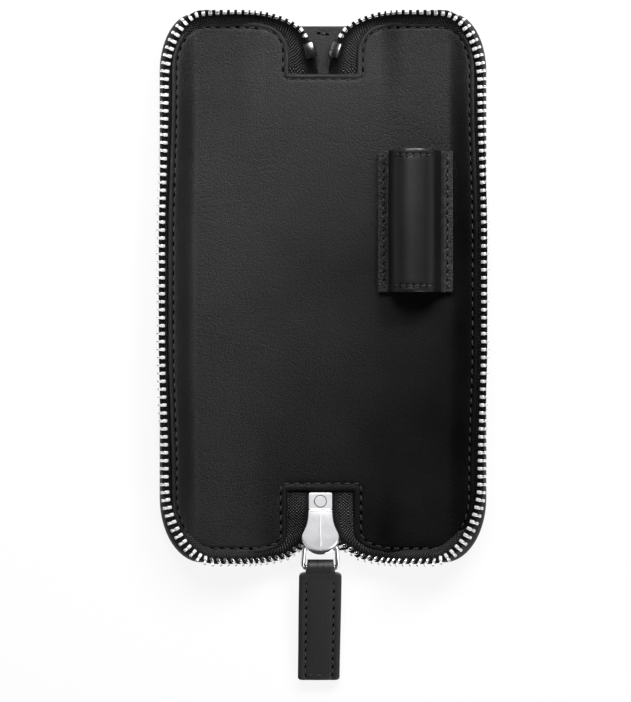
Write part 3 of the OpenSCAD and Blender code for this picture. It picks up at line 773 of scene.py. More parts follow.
def leaf_field(side, fold_edge, low_edge, high_edge, outer_edge):
    """The lining inside its border: a patch between four edges on the flat, laid in the dish."""
    rows = []
    for j, v in enumerate(spread(0, 1, len(fold_edge) - 1)):
        row = []
        for i, u in enumerate(spread(0, 1, len(low_edge) - 1)):
            ends = mix_points(low_edge[i], high_edge[i], v)
            sides = mix_points(fold_edge[j], outer_edge[j], u)
            low_chord = mix_points(low_edge[0], low_edge[-1], u)
            high_chord = mix_points(high_edge[0], high_edge[-1], u)
            chord = mix_points(low_chord, high_chord, v)
            x, y = (a + b - c for a, b, c in zip(ends, sides, chord))
            z = dish_height(x, y)
            x, y = settle(x, y)
            row.append((side * x, y, z + swell(side * x, y)))
        rows.append(row)
    return rows


def panel_height(x, y, beside, d):
    """Height of the spine's panel, beside past a window's side and d up from the bottom window."""
    low_d, high_d = d * SEAM_INSET / LOW_ROW_INSET, PANEL_SPAN - d
    relief = sum(strip_height(math.hypot(beside, depth), SEAM_INSET) for depth in (low_d, high_d))
    return FLOOR_Z + relief + swell(x, y)


def spine_panel(side, insets):
    """Rows of the lining over half the spine, with a turned edge and a seam at each window."""
    rows = []
    for d in PANEL_PLACES:
        t = d / PANEL_SPAN
        low_x, y = LOW_WINDOW_X[side], BOTTOM_WINDOW_Y + d
        low_strip, high_strip = LOW_STRIP[side] / SEAM_INSET, HIGH_STRIP / SEAM_INSET
        held = [mix(low_x + s * low_strip, HIGH_WINDOW_X + s * high_strip, t) for s in insets]
        free = [0, 2.5, 5, 7, 8] + [mix(8, held[0], share) for share in (0.35, 0.7)]
        besides = [0] * len(free) + insets
        rows.append([(side * x, y, panel_height(side * x, y, beside, d))
                     for x, beside in zip(free + held, besides)])
    return rows, len(free) + 1


def lining_half(side):
    """Half of the lining: a soft border that falls to the floor, and the panel between the windows."""
    insets = [0, 0.12, 0.35, 0.6, 0.9, 1.2, 1.5, 1.8, 2.1, 2.4, 2.8, 3.3, 4.0, 4.8, 5.5, BAND]
    count = len(LINING_EDGE[side])
    shape = Shape()
    shape.grid([lining_skirt(side, 0.85, 0.5), lining_skirt(side, 0.4, -0.05)]
               + [[lining_point(side, i, d) for i in range(count)] for d in insets])

    band = LINING_BAND[side]
    a = WINDOW_STEPS + INNER_STEPS // 2
    b = a + INNER_STEPS // 2 + OUTWARD_STEPS + CORNER_STEPS // 2
    c = count - 1 - b
    start, end = band[0], band[-1]
    panel_side = [(mix(start[0], end[0], d / PANEL_SPAN), BOTTOM_WINDOW_Y + d) for d in PANEL_PLACES]
    fold_edge = band[:a + 1][::-1] + panel_side[1:-1] + band[count - 1 - a:][::-1]
    shape.grid(leaf_field(side, fold_edge, band[a:b + 1], band[c:count - a][::-1], band[b:c + 1]))

    rows, short = spine_panel(side, insets)
    shape.grid(rows)
    for row, out in ((rows[0], -1), (rows[-1], 1)):
        under = [row[:short], [(x, y + out * 0.05, z - 0.4) for x, y, z in row[:short]],
                 [(x, y - out * 0.5, z - 0.85) for x, y, z in row[:short]]]
        shape.grid(under)
    name = side_name(side)
    piece = shape.piece(name + "_inner_lining", LINING_LEATHER)
    settle_half(piece, side, "lining_leather", name + "_lining", "spine_lining")


# ---- zip tapes

CHAIN_LOW_R, CHAIN_HIGH_R = (17.0, 25.0), (13.0, 22.0)
# Share of the spine's dip that the chain follows at each end
CHAIN_LOW_DIP, CHAIN_HIGH_DIP = 0.5, 0.75
TAPE_T = 0.45
TUCK_INSET = 2.4
# Chain on the +X side of the spine: up out of the slider's mouth, and down past the end cap
LOW_LEAD = [(1.9, -60, 1.5), (1.9, -62.8, 1.7), (1.9, -64.8, 3.0), (1.9, -67, 4.7), (2.0, -71, 5.2),
            (2.9, -75, 5.2), (4.4, -78.2, 5.2), (6.4, -80.0, 5.2), (8.6, -81.2, 5.2)]
HIGH_LEAD = [(8.6, 81.4, 5.2), (6.9, 79.9, 5.2), (5.5, 77.9, 5.2), (4.7, 75.7, 5.2), (3.7, 72, 4.9),
             (2.9, 69.5, 3.4), (2.3, 67.6, 2.2), (2.2, 66, 1.8), (2.2, 62.9, 1.6)]
# The tape's other edge, tucked under the lining beside the windows
LOW_TUCK = [(12.6, -60, 1.8), (12.6, -62.8, 2.0), (12.6, -64.8, 2.2), (12.6, -67, 2.3), (12.6, -71, 2.3),
            (12.7, -73.5, 2.3), (13.0, -75.5, 2.3), (13.6, -77.0, 2.3), (14.6, -78.1, 2.3)]
HIGH_TUCK = [(15.0, 78.3, 2.3), (14.2, 77.4, 2.3), (13.5, 76.2, 2.3), (13.0, 75, 2.3), (12.7, 73, 2.3),
             (12.6, 71, 2.3), (12.6, 69, 2.3), (12.6, 66, 2.1), (12.6, 62.9, 1.8)]


def chain_points():
    """The middle of the chain from the slider round the leaf to the end cap."""
    flat = border_path(FOLD.x, CHAIN_X, CHAIN_LOW_Y, CHAIN_HIGH_Y, CHAIN_LOW_R, CHAIN_HIGH_R)
    points = []
    for x, y in flat:
        share = CHAIN_HIGH_DIP if y > 0 else CHAIN_LOW_DIP
        drop = math.copysign(dip(x, y) * share, y)
        points.append((x - pinch(x, y), y - drop, mix(CHAIN_Z, CHAIN_TOP_Z, rise(x))))
    return LOW_LEAD + points + HIGH_LEAD


def tuck_points():
    """The tape's inner edge, under the lining's border."""
    end_y = LINING_Y - TUCK_INSET
    points = []
    for x, y in border_path(FOLD.x + 5.4, LINING_X - TUCK_INSET, end_y, end_y, LINING_LOW_R, LINING_HIGH_R):
        z = mix(2.3, dish_height(x, y) - 1.15, rise(x))
        points.append((*settle(x, y), z))
    return LOW_TUCK + points + HIGH_TUCK


CHAIN = chain_points()
TUCK = tuck_points()


def centred(p, side):
    """A point of the +X side on the side asked for, shifted over the spine to the slider's middle."""
    shift = SLIDER_X * smooth(1 - abs(p[0]) / FOLD.x) * (1 if p[1] < 0 else 0)
    return (side * p[0] + shift, p[1], p[2])


def tape_section(i):
    """The tape's closed outline at station i: a cord along the chain, and a band down to the tuck."""
    a, tuck = Vector(CHAIN[i]), Vector(TUCK[i])
    before, after = Vector(CHAIN[max(i - 1, 0)]), Vector(CHAIN[min(i + 1, len(CHAIN) - 1)])
    out = (after - before).cross(Vector((0, 0, 1))).normalized()
    lift = rise(a.x)
    cord = 0.5
    up = Vector((0, 0, cord))
    middle = a - Vector((0, 0, mix(0.2, 0.45, lift)))
    shoulder = a - out * 1.5 - Vector((0, 0, mix(0.7, 1.9, lift)))
    shoulder.z = max(shoulder.z, 2.1)
    waist = shoulder.lerp(tuck, 0.5) - Vector((0, 0, mix(0.5, 0.15, lift)))
    waist.z = max(waist.z, 2.2)
    crest = a.lerp(shoulder, 0.5) + Vector((0, 0, 0.12))
    top = [middle - out * 0.45 + up * 0.9, crest, shoulder, waist, tuck]
    under = [p - Vector((0, 0, TAPE_T)) for p in reversed(top)]
    slant = out * cord * 0.7
    round_cord = [middle + slant - up * 0.7, middle + out * cord, middle + slant + up * 0.7, middle + up]
    return round_cord + top + under + [middle - up]


def tape_half(side):
    """One zip tape: a corded edge that carries the teeth, and a woven band in under the lining."""
    marks = Route(CHAIN).marks
    rows, uv = [], []
    for i in range(len(CHAIN)):
        section = tape_section(i)
        across = [0.0]
        for p, q in zip(section, section[1:]):
            across.append(across[-1] + (q - p).length)
        rows.append([centred(p, side) for p in section])
        uv.append([(marks[i], w) for w in across])
    shape = Shape()
    shape.loft(rows, uv)
    name = side_name(side)
    piece = shape.piece(name + "_zip_tape", TAPE, weld=0)
    settle_half(piece, side, "zip_tape", name + "_tape", name + "_tape_tail", "bottom_tape")


# ---- zip teeth

# Half width and half thickness of a tooth at places along it, from the legs' ends to the head
TOOTH_FORM = [(-1.5, 0.4, 0.5), (-1.4, 0.5, 0.66), (-1.2, 0.53, 0.74), (-0.8, 0.53, 0.76),
              (-0.15, 0.52, 0.74), (0.02, 0.46, 0.6), (0.15, 0.34, 0.42), (0.38, 0.32, 0.36),
              (0.55, 0.36, 0.42), (0.72, 0.43, 0.54), (1.05, 0.45, 0.56), (1.22, 0.42, 0.5),
              (1.32, 0.3, 0.38), (1.27, 0.2, 0.26), (1.05, 0.14, 0.18)]
# Depth of the hollow along the top of the neck and head
HOLLOW = 0.3


def oval(half_w, half_h, count, power):
    """A rounded box outline, squarer for a lower power."""
    points = []
    for a in angles(count, 0.5):
        c, s = math.cos(a), math.sin(a)
        x, y = math.copysign(abs(c) ** power, c), math.copysign(abs(s) ** power, s)
        points.append((half_w * x, half_h * y))
    return points


def tooth_rows():
    """A tooth along +X: two legs, a waist and a head with a nub, a hollow on top and a dimpled end."""
    rows = []
    for x, w, h in TOOTH_FORM:
        nub = 0.1 * bell_curve(x - 0.95, 0.25)
        sink = HOLLOW * bell_curve(x - 0.6, 0.38)
        row = []
        for y, z in oval(w, h, 16, 0.36):
            row.append(Vector((x, y + nub, z - sink if z > 0 and abs(y) < 0.6 * w else z)))
        rows.append(row)
    return rows


def end_share(x):
    """1 along the ends of a leaf, 0 up its sides."""
    return smooth((HALF_X - 10 - abs(x)) / 12)


def lean(x, y):
    """How steeply a tooth stands, in degrees: upright at the top, nearly flat along the bottom."""
    corner = bell_curve(abs(y) - 72, 14) * (1 - end_share(x))
    return mix(46, 83 if y > 0 else 32, end_share(x)) - 12 * corner


def twist(x, y):
    """How far a tooth turns towards the slider, in degrees: along the bottom the chain winds down to it."""
    return 36 * end_share(x) if y < 0 else 0


def pitch_at(heading, x):
    """Step to the next tooth: a little closer along the ends than up the sides."""
    return TOOTH_PITCH * mix(1.0, mix(0.86, 0.91, rise(x)), abs(heading.x))


def placed_tooth(place, heading, side):
    """Rows of a tooth at a place of the chain on the +X side, taken to the side asked for."""
    along = Vector((heading.x, heading.y, 0)).normalized()
    along = Matrix.Rotation(math.radians(-twist(place.x, place.y)), 3, "Z") @ along
    out = Vector((along.y, -along.x, 0))
    angle = math.radians(lean(place.x, place.y))
    forward = out * math.cos(angle) + Vector((0, 0, math.sin(angle)))
    upward = Vector((0, 0, math.cos(angle))) - out * math.sin(angle)
    girth = mix(1.0, 1.35, end_share(place.x) * (1 if place.y > 0 else 0))
    return [[centred(place + forward * p.x + along * (p.y * girth) + upward * p.z, side) for p in row]
            for row in TOOTH_ROWS]


def add_tooth(shape, rows, place):
    """Adds a tooth; along the bottom its legs take a darker copy of the metal, as painted shade."""
    # painted shade: the legs of the teeth along the bottom are darker
    shape.slot = int(place.y < 0 and end_share(place.x) > 0.4)
    shape.grid(rows[:LEG_ROWS], closed=True)
    shape.fan(rows[0])
    shape.slot = 0
    shape.grid(rows[LEG_ROWS - 1:], closed=True)
    shape.fan(rows[-1])


TOOTH_ROWS = tooth_rows()
# Rows of a tooth that make up its legs
LEG_ROWS = 6


def zip_teeth(side):
    """All teeth of one tape, the leaf's in one piece and the spine's in another."""
    route = Route(CHAIN)
    leaf, spine = Shape(), Shape()
    s = next(mark for p, mark in zip(CHAIN, route.marks) if p[1] < -78)
    place, heading = route.at(s)
    while place.y < 0 or place.x > 4.9:
        add_tooth(leaf if place.x > FOLD.x else spine, placed_tooth(place, heading, side), place)
        s += pitch_at(heading, place.x)
        place, heading = route.at(s)
    name = side_name(side)
    for shape, label, body, node in ((leaf, "_leaf_teeth", name + "_leaf", name + "_teeth"),
                                     (spine, "_spine_teeth", "spine", "spine_teeth")):
        piece = shape.piece(name + label, TOOTH_METAL, SHADED_LEG_METAL, weld=0.001, crease=40)
        settle_piece(piece, "zip_teeth", body, node)


# ---- stitches

STITCH_STEPS, STITCH_SIDES = 6, 6
HOLE_L, HOLE_W, HOLE_SIDES = 0.85, 0.4, 10


def add_stitch(shape, place, along, up, length, radius, yaw, hole):
    """One stitch: a thread that rises from its needle hole, lies on the leather and dives into the next."""
    along = Matrix.Rotation(math.radians(yaw), 3, up) @ along
    across = up.cross(along).normalized()
    rows, uv = [], []
    for t in spread(-1, 1, STITCH_STEPS):
        centre = place + along * (t * length / 2) + up * (radius - 2.25 * radius * abs(t) ** 3)
        r = radius * (1 - 0.25 * abs(t) ** 4)
        rows.append([tuple(centre + across * (r * math.cos(a)) + up * (r * math.sin(a)))
                     for a in angles(STITCH_SIDES)])
        uv.append([(t * length / 2, i / STITCH_SIDES) for i in range(STITCH_SIDES)])
    shape.grid(rows, closed=True, uv=uv)
    # painted shade: a flat black ellipse at each end of the stitch stands for the shade in its needle hole
    shape.slot = 1
    for sign in (-1, 1):
        middle = place + along * (sign * (length / 2 + 0.1)) + up * 0.07
        half_l, half_w = hole * HOLE_L, hole * HOLE_W
        shape.fan([tuple(middle + along * (half_l * math.cos(a)) + across * (half_w * math.sin(a)))
                   for a in angles(HOLE_SIDES)])
    shape.slot = 0


def sew(shape, route, up_at, yaw=7.0, pitch=STITCH_PITCH, length=STITCH_LEN, radius=THREAD_R, hole=1.0):
    """Even stitches along a route; up_at gives the surface's normal, and hole scales the needle holes."""
    count = max(1, round(route.length / pitch))
    for i in range(count):
        place, heading = route.at((i + 0.5) * route.length / count)
        add_stitch(shape, place, heading, up_at(place, heading), length, radius, yaw, hole)


def straight_up(place, heading):
    return Vector((0, 0, 1))


def seam_half(side):
    """The seam of half the lining: round the leaf, and across the spine's panel at both windows."""
    count = len(LINING_EDGE[side])
    seam, inner, outer = ([Vector(lining_point(side, i, SEAM_INSET + d)) for i in range(count)]
                          for d in (0, 0.8, -0.8))

    def border_up(place, heading):
        i = min(range(count), key=lambda k: (seam[k] - place).length_squared)
        up = (inner[i] - outer[i]).cross(heading)
        return up.normalized() if up.z > 0 else -up.normalized()

    def on_spine(x, y):
        return (x, y, FLOOR_Z - 0.25 + swell(x, y))

    low_y, high_y = BOTTOM_WINDOW_Y + LOW_ROW_INSET, TOP_WINDOW_Y - SEAM_INSET
    low, high = seam[0], seam[-1]
    shape = Shape()
    border = [on_spine(low.x, low_y)] + seam + [on_spine(high.x, high_y)]
    sew(shape, Route(border), border_up, yaw=7.0 * side)
    for y, edge in ((low_y, low), (high_y, high)):
        steps = [side * 0.1, side * 3.5, side * 7.0, edge.x]
        sew(shape, Route([on_spine(x, y) for x in steps]), straight_up)
    name = side_name(side)
    piece = shape.piece(name + "_seam", THREAD, NEEDLE_HOLE_SHADE, weld=0)
    settle_half(piece, side, "thread", name + "_stitches", "spine_stitches")


# ---- tongue and end caps

def tongue():
    """The leather tongue that runs from the spine's upper end down into the window."""
    outline = [(8.6, FOLD_Y - 0.3), (8.4, FOLD_Y - 2.5), (6.6, FOLD_Y - 5.5), (4.2, FOLD_Y - 8.5),
               (2.6, FOLD_Y - 11.2), (2.15, FOLD_Y - 13), (2.1, TOP_WINDOW_Y - 1.5)]
    base, top = LEATHER_T + 0.05, LEATHER_T + 0.75
    shape = Shape()
    rows = []
    for inset, z in ((0, base), (0, top - 0.25), (0.12, top - 0.06), (0.35, top)):
        row = []
        for sign in (1, -1):
            edge = [(sign * (x - inset), y - (inset if k == 0 else 0), z)
                    for k, (x, y) in enumerate(outline)]
            row += edge if sign > 0 else edge[::-1]
        rows.append(row)
    shape.grid(rows, closed=True)
    half, inner = len(outline), rows[-1]
    crown = []
    for k in range(half):
        across = [mix_points(inner[k], inner[2 * half - 1 - k], u) for u in spread(0, 1, 8)]
        crown.append([(x, y, z + 0.12 * math.sin(math.pi * i / 8)) for i, (x, y, z) in enumerate(across)])
    shape.grid(crown)
    piece = shape.piece("spine_tongue_leather", LINING_LEATHER)
    settle_piece(piece, "outer_leather", "spine", "spine_tongue")
    thread = Shape()
    row_y = FOLD_Y - 2.4
    sew(thread, Route([(-2.1, row_y, top + 0.12), (2.1, row_y, top + 0.12)]), straight_up, yaw=-7)
    settle_piece(thread.piece("tongue_seam", THREAD, NEEDLE_HOLE_SHADE, weld=0), "thread", "spine")


def end_cap(side, turn, roll):
    """A folded metal cap clamped over the tape's end, turned with the tape and rolled to one side."""
    node = side_name(side) + "_end_cap"
    box = [Vector(corner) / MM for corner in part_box(node)]
    centre = (box[0] + box[1]) / 2
    turned = Matrix.Rotation(math.radians(turn), 3, "Z") @ Matrix.Rotation(math.radians(roll), 3, "Y")
    half_w, half_l, half_h = 1.65, 2.42, 1.0
    rows = []
    for y, inset in ((-half_l, 0.4), (-half_l + 0.12, 0.12), (-half_l + 0.45, 0), (half_l - 0.45, 0),
                     (half_l - 0.12, 0.12), (half_l, 0.4)):
        w, h, bevel = half_w - inset, half_h - inset, 0.42
        corner = [(w, h - bevel), (w - bevel * 0.3, h - bevel * 0.3), (w - bevel, h)]
        ring = corner + flipped(corner) + [(-x, -z) for x, z in corner]
        ring += [(x, -z) for x, z in reversed(corner)]
        rows.append([tuple(centre + turned @ Vector((x, y, z))) for x, z in ring])
    shape = Shape()
    shape.loft(rows)
    piece = shape.piece(node + "_metal", END_CAP_METAL, weld=0, crease=30)
    settle_piece(piece, "end_cap_metal", "spine", node)


# ---- slider

BELL_L = high("slider_cap", "y") - NOSE_Y
BELL_W = half_size("slider_cap", "x")
BELL_ARC_Y = 4.4
PLATE_Z = high("slider_plate", "z")
LOWER_Z = low("slider_body", "z")
RIDGE_R = 0.14
RING_R = 1.84


def mouth_outline(flank, inset, w, y, depth):
    """A slider plate from above: down its flank from the neck, round the mouth, up the other side."""
    half = [(x - inset, y0 - (inset if k == 0 else 0)) for k, (x, y0) in enumerate(flank)]
    half += [(w * math.cos(a), y - depth * math.sin(a)) for a in (math.radians(d) for d in range(0, 91, 9))]
    return half + flipped(half[:-1])


def bell(inset):
    """The slider's outline seen from above, inset from its edge: a round mouth that narrows to a neck."""
    flank = [(3.92, BELL_L), (3.94, 11.6), (4.02, 10.4), (4.22, 9.1),
             (4.62, 7.8), (5.1, 6.7), (5.55, 5.8), (5.86, 5.0)]
    return mouth_outline(flank, inset, BELL_W - inset, BELL_ARC_Y, BELL_ARC_Y - inset)


def roof(x, y):
    """Height of the slider's top: two faces that meet in a ridge, lower at the neck and the mouth."""
    ends = smooth((y + 1.5) / 6) * smooth((BELL_L + 3.5 - y) / 6)
    ridge = smooth((y - 1.2) / 1.2) * smooth((BELL_L - 1.6 - y) / 1.2)
    return CROWN_Z + 1.9 + ends * (0.9 - 0.05 * abs(x)) + ridge * 0.16 * bell_curve(x, 0.2)


def at_slider(points):
    return [(x + SLIDER_X, y + NOSE_Y, z) for x, y, z in points]


def slider_cap():
    """The slider's cover: a bell-shaped shell with a polished bevel on a satin top, and a ridge painted
    near white as a highlight.
    """
    def level(inset, drop):
        return at_slider([(x, y, roof(x, y) - drop) for x, y in bell(inset)])

    shape = Shape()
    shape.slot = 1
    skirt = at_slider([(x, y, CROWN_Z + 0.02) for x, y in bell(0.05)])
    shape.grid([skirt, level(0, 0.75), level(0, 0.5), level(0.12, 0.22), level(0.42, 0.0)], closed=True)
    border = bell(0.42)
    rows = []
    for w, y in border[:len(border) // 2 + 1]:
        half = [w * share for share in (1, 0.85, 0.7, 0.55, 0.4, 0.28)]
        half += [min(x, w * share) for x, share in ((0.5, 0.2), (0.28, 0.1), (RIDGE_R, 0.05))]
        rows.append(at_slider([(x, y, roof(x, y)) for x in half + [0] + [-x for x in reversed(half)]]))
    ridge = len(rows[0]) // 2 - 1
    for upper, lower in zip(rows, rows[1:]):
        # painted highlight: the faces along the ridge take the near-white material
        on_ridge = 1.4 < lower[0][1] - NOSE_Y and upper[0][1] - NOSE_Y < BELL_L - 1.2
        top = (ridge, ridge + 3, 2 * int(on_ridge))
        for start, end, slot in ((0, ridge + 1, 0), top, (ridge + 2, len(upper), 0)):
            shape.slot = slot
            shape.grid([upper[start:end], lower[start:end]])
    piece = shape.piece("slider_top", SATIN_METAL, EDGE_METAL, RIDGE_HIGHLIGHT_METAL, weld=0.002, crease=35)
    settle_piece(piece, "slider_metal", "spine", "slider_cap")


def rounded_box(half_w, half_l, radius, count):
    """Points round a rectangle at even angles from its middle."""
    points = []
    for a in angles(count, 0.5):
        c, s = math.cos(a), math.sin(a)
        reach = min(half_w / max(1e-6, abs(c)), half_l / max(1e-6, abs(s)))
        x, y = reach * c, reach * s
        over = math.hypot(max(0, abs(x) - half_w + radius), max(0, abs(y) - half_l + radius)) - radius
        points.append((x * (1 - max(0.0, over) / 4), y * (1 - max(0.0, over) / 4)))
    return points


def slider_plate():
    """The small plate above the slider, with a plain ring engraved in it and painted dark as its shade."""
    half_w, half_l = half_size("slider_plate", "x"), half_size("slider_plate", "y")
    middle_y = mid("slider_plate", "y")
    count = 64

    def rectangle(inset, z):
        return [(SLIDER_X + x, middle_y + y, z)
                for x, y in rounded_box(half_w - inset, half_l - inset, 0.3, count)]

    def circle(r, z):
        return [(SLIDER_X + r * math.cos(a), middle_y + r * math.sin(a), z)
                for a in angles(count, 0.5)]

    z = PLATE_Z
    rim = [rectangle(inset, height) for inset, height in
           ((0, CROWN_Z + 0.02), (0, z - 0.25), (0.08, z - 0.08), (0.28, z))]
    groove = [circle(RING_R + 0.13, z), circle(RING_R + 0.09, z - 0.08), circle(RING_R - 0.09, z - 0.08),
              circle(RING_R - 0.13, z)]
    shape = Shape()
    shape.grid(rim + [rectangle(0.6, z), groove[0]], closed=True)
    # painted shade: the groove's faces take the dark metal
    shape.slot = 1
    shape.grid(groove, closed=True)
    shape.slot = 0
    shape.grid([groove[-1], circle(0.9, z), circle(0.02, z)], closed=True)
    piece = shape.piece("slider_plate_metal", SATIN_METAL, ENGRAVING_SHADE_METAL, weld=0.002, crease=35)
    settle_piece(piece, "slider_metal", "spine", "slider_plate")


def slider_body():
    """The slider's two plates, the wedge between them and the lip that shows below the cap."""
    shape = Shape()
    top = low("slider_plate", "y") - NOSE_Y + 4.2

    half_w, arc_y = 5.6, 4.0
    flank = ((3.5, top), (3.7, 9.0), (4.2, 7.6), (5.3, 5.6), (half_w, 4.6))

    def plate(bottom, upper, lip, sink):
        """One plate; lip moves its mouth forward, and sink slopes it down towards the mouth."""
        rows = []
        levels = ((0.3, bottom), (0, bottom + 0.2), (0, upper - 0.25), (0.1, upper - 0.08), (0.3, upper))
        for inset, z in levels:
            outline = mouth_outline(flank, inset, half_w - inset, arc_y, arc_y + lip - inset)
            rows.append(at_slider([(x, y, z - sink * smooth((4.4 - y) / 3.6)) for x, y in outline]))
        shape.loft(rows)

    plate(LOWER_Z, LOWER_Z + 0.9, 0.9, 0.0)
    plate(CROWN_Z - 0.9, CROWN_Z, 1.25, 0.85)
    wedge = ((0, 6), (0.8, 3.4), (1.8, 1.4), (-1.8, 1.4), (-0.8, 3.4))
    shape.loft([at_slider([(x, y, z) for x, y in wedge]) for z in spread(LOWER_Z + 0.5, CROWN_Z - 0.5, 4)])
    piece = shape.piece("slider_plates", EDGE_METAL, weld=0, crease=35)
    settle_piece(piece, "slider_metal", "spine", "slider_body")


# ---- bail

WIRE_W, WIRE_H = 0.745, 0.66


def wire_rows(points, count=24, power=0.9):
    """Closed flattened rings round a closed line of points."""
    rows = []
    total = len(points)
    for i, p in enumerate(points):
        heading = (points[(i + 1) % total] - points[i - 1]).normalized()
        across = heading.cross(Vector((0, 0, 1))).normalized()
        up = across.cross(heading).normalized()
        rows.append([tuple(p + across * a + up * b) for a, b in oval(WIRE_W, WIRE_H, count, power)])
    return rows


def bail():
    """A wire loop from the slider's lug to the pull, bent round at its corners."""
    half_top, half_low = 5.0, high("bail", "x") - SLIDER_X - 0.6
    high_y, low_y = BAIL_BAR.y, PULL_BAR.y
    bend = 1.15
    flat = [(0, high_y)] + line(0, high_y, half_top - bend, high_y, 3)
    flat += arc(half_top - bend, high_y - bend, bend, bend, 90, 3, 6)
    flat += line(half_top, high_y - bend, half_low, low_y + bend, 8)
    flat += arc(half_low - bend, low_y + bend, bend, bend, 0, -90, 6)
    flat += line(half_low - bend, low_y, 0, low_y, 3)
    slope = (PULL_BAR.z - BAIL_BAR.z) / (low_y - high_y)
    loop = flat + flipped(flat[1:-1])
    rows = wire_rows([Vector((SLIDER_X + x, y, BAIL_BAR.z + (y - high_y) * slope)) for x, y in loop])
    shape = Shape()
    shape.grid(rows + rows[:1], closed=True)
    settle_piece(shape.piece("bail_loop", BAIL_METAL), "bail_wire", "bail", "bail")


# ---- pull

PULL_END = low("pull_strap", "y")
PULL_TILT = math.atan2(PULL_BAR.z - 1.75, PULL_BAR.y - PULL_END)
PULL_REACH = (PULL_BAR.y - PULL_END) / math.cos(PULL_TILT)
PULL_HALF_W = half_size("pull_strap", "x")
PULL_HALF_T = 1.7
PULL_SHEAR = 0.0157
PULL_LOOP_R = 2.55
# The pull's edge is cut at a bevel, and its seam draws the leather down
PULL_BEVEL, PULL_SEAM = 0.5, 2.35


def pull_width(v):
    """Half width of the pull at a distance from the bail: the loop, the notch, round shoulders, the tab."""
    if v < -0.9:
        return mix(4.0, 4.12, smooth((v + 2.7) / 1.8))
    if v < 1.55:
        return mix(4.12, 4.6, smooth((v + 0.9) / 2.2))
    shoulder = 1.25
    t = clamp((v - 1.55) / shoulder)
    w = mix(5.0, PULL_HALF_W, math.sqrt(1 - (1 - t) ** 2))
    end = clamp((v - PULL_REACH + 0.9) / 0.9)
    return w - 0.12 * smooth((v - 8) / 24) - 0.95 * (1 - math.sqrt(1 - end ** 2))


def pull_height(v):
    """Half thickness of the pull at a distance from the bail."""
    if v < 0:
        return math.sqrt(max(0.0, PULL_LOOP_R ** 2 - v ** 2))
    body = PULL_HALF_T - 0.1 * smooth((v - PULL_REACH + 1.2) / 1.2)
    notch = 0.35 * bell_curve(v - 1.5, 0.6)
    return mix(PULL_LOOP_R, body, smooth(v / 3.4)) - notch


def at_pull(x, v, z):
    """A point of the pull, from across, along and up over its middle plane."""
    y = -v * math.cos(PULL_TILT) - z * math.sin(PULL_TILT)
    return (SLIDER_X + x - max(0, v) * PULL_SHEAR, PULL_BAR.y + y,
            PULL_BAR.z - v * math.sin(PULL_TILT) + z * math.cos(PULL_TILT))


def pull_ring(v):
    """The pull's closed outline across, at a distance from the bail."""
    w, h = pull_width(v), max(0.12, pull_height(v))
    bevel = min(PULL_BEVEL, h * 0.6)
    sewn = smooth((v - 3.6) / 1.2)
    groove = 0.16 * sewn
    plump = 0.1 * sewn
    across = [w, w - bevel * 0.25, w - bevel, w - bevel - 0.15, w - 1.4, w - PULL_SEAM + 0.4, w - PULL_SEAM,
              w - PULL_SEAM - 0.4, w - 3.4, w * 0.25]
    drop = [bevel, bevel * 0.45, 0.06, 0.0, -plump, 0.04 * sewn, groove, 0.04 * sewn, -plump * 0.4, -plump]
    upper = [(a, h - d) for a, d in zip(across, drop)]
    upper += flipped(upper)
    seam = w - (0.1 if v > 0 else 0.0)
    return upper + [(-seam, 0)] + [(a, -z) for a, z in reversed(upper)] + [(seam, 0)]


def pull():
    """The leather pull: one strap folded round the bail and sewn to itself."""
    stations = [-2.55, -2.5, -2.35, -2.05, -1.6, -1.0, -0.4, 0.2, 0.8]
    stations += [1.2, 1.5, 1.56, 1.65, 1.8, 2.0, 2.3, 2.8]
    stations += spread(3.4, PULL_REACH - 1.2, 44)
    stations += [PULL_REACH - d for d in (0.9, 0.65, 0.45, 0.3, 0.16, 0.06, 0.0)]
    rows = []
    for v in stations:
        uneven = 0.06 * smooth((v - 3) / 3)
        rows.append([at_pull(x, v, z + math.copysign(ripple(x, v, 5, uneven, 4.0), z))
                     for x, z in pull_ring(v)])
    shape = Shape()
    shape.loft(rows)
    piece = shape.piece("pull_leather", PULL_LEATHER, weld=0, crease=40)
    settle_piece(piece, "pull_leather", "pull", "pull_strap", "pull_core")

    def pull_up(place, heading):
        return Vector((0, -math.sin(PULL_TILT), math.cos(PULL_TILT)))

    thread = Shape()
    start, end, z = 4.6, PULL_REACH - 1.5, PULL_HALF_T - 0.12
    reach = PULL_HALF_W - PULL_SEAM
    corners = [at_pull(x, v, z) for x, v in ((-reach, start), (-reach, end), (reach, end), (reach, start))]
    for a, b in zip(corners, corners[1:]):
        sew(thread, Route([a, b]), pull_up, pitch=2.7, length=1.9, radius=0.2, hole=0.55)
    seam = thread.piece("pull_seam", THREAD, NEEDLE_HOLE_SHADE, weld=0)
    settle_piece(seam, "thread", "pull", "pull_stitches")


# ---- pen loop

LOOP_X = mid("pen_loop", "x")
LOOP_LOW, LOOP_HIGH = low("pen_loop", "y"), high("pen_loop", "y")
LOOP_SPAN = LOOP_HIGH - LOOP_LOW
LOOP_TOP = high("pen_loop", "z")
LOOP_HALF = half_size("pen_loop", "x")
LOOP_T = 1.3
TUBE_R = 8.0
FLANGE_Z = high("loop_base", "z")
TUBE_Z = LOOP_TOP - TUBE_R
# Where the flange's raw leather starts, and its rim of pressed beads; length of a bead;
# rows of stitches over the tube, from its ends
FLANGE_START, RIM_START = TUBE_R + 0.7, LOOP_HALF - 1.0
BEAD = 2.6
EDGE_ROW = 1.9
# How far the soft tube leans to the left
TUBE_LEAN = 0.8


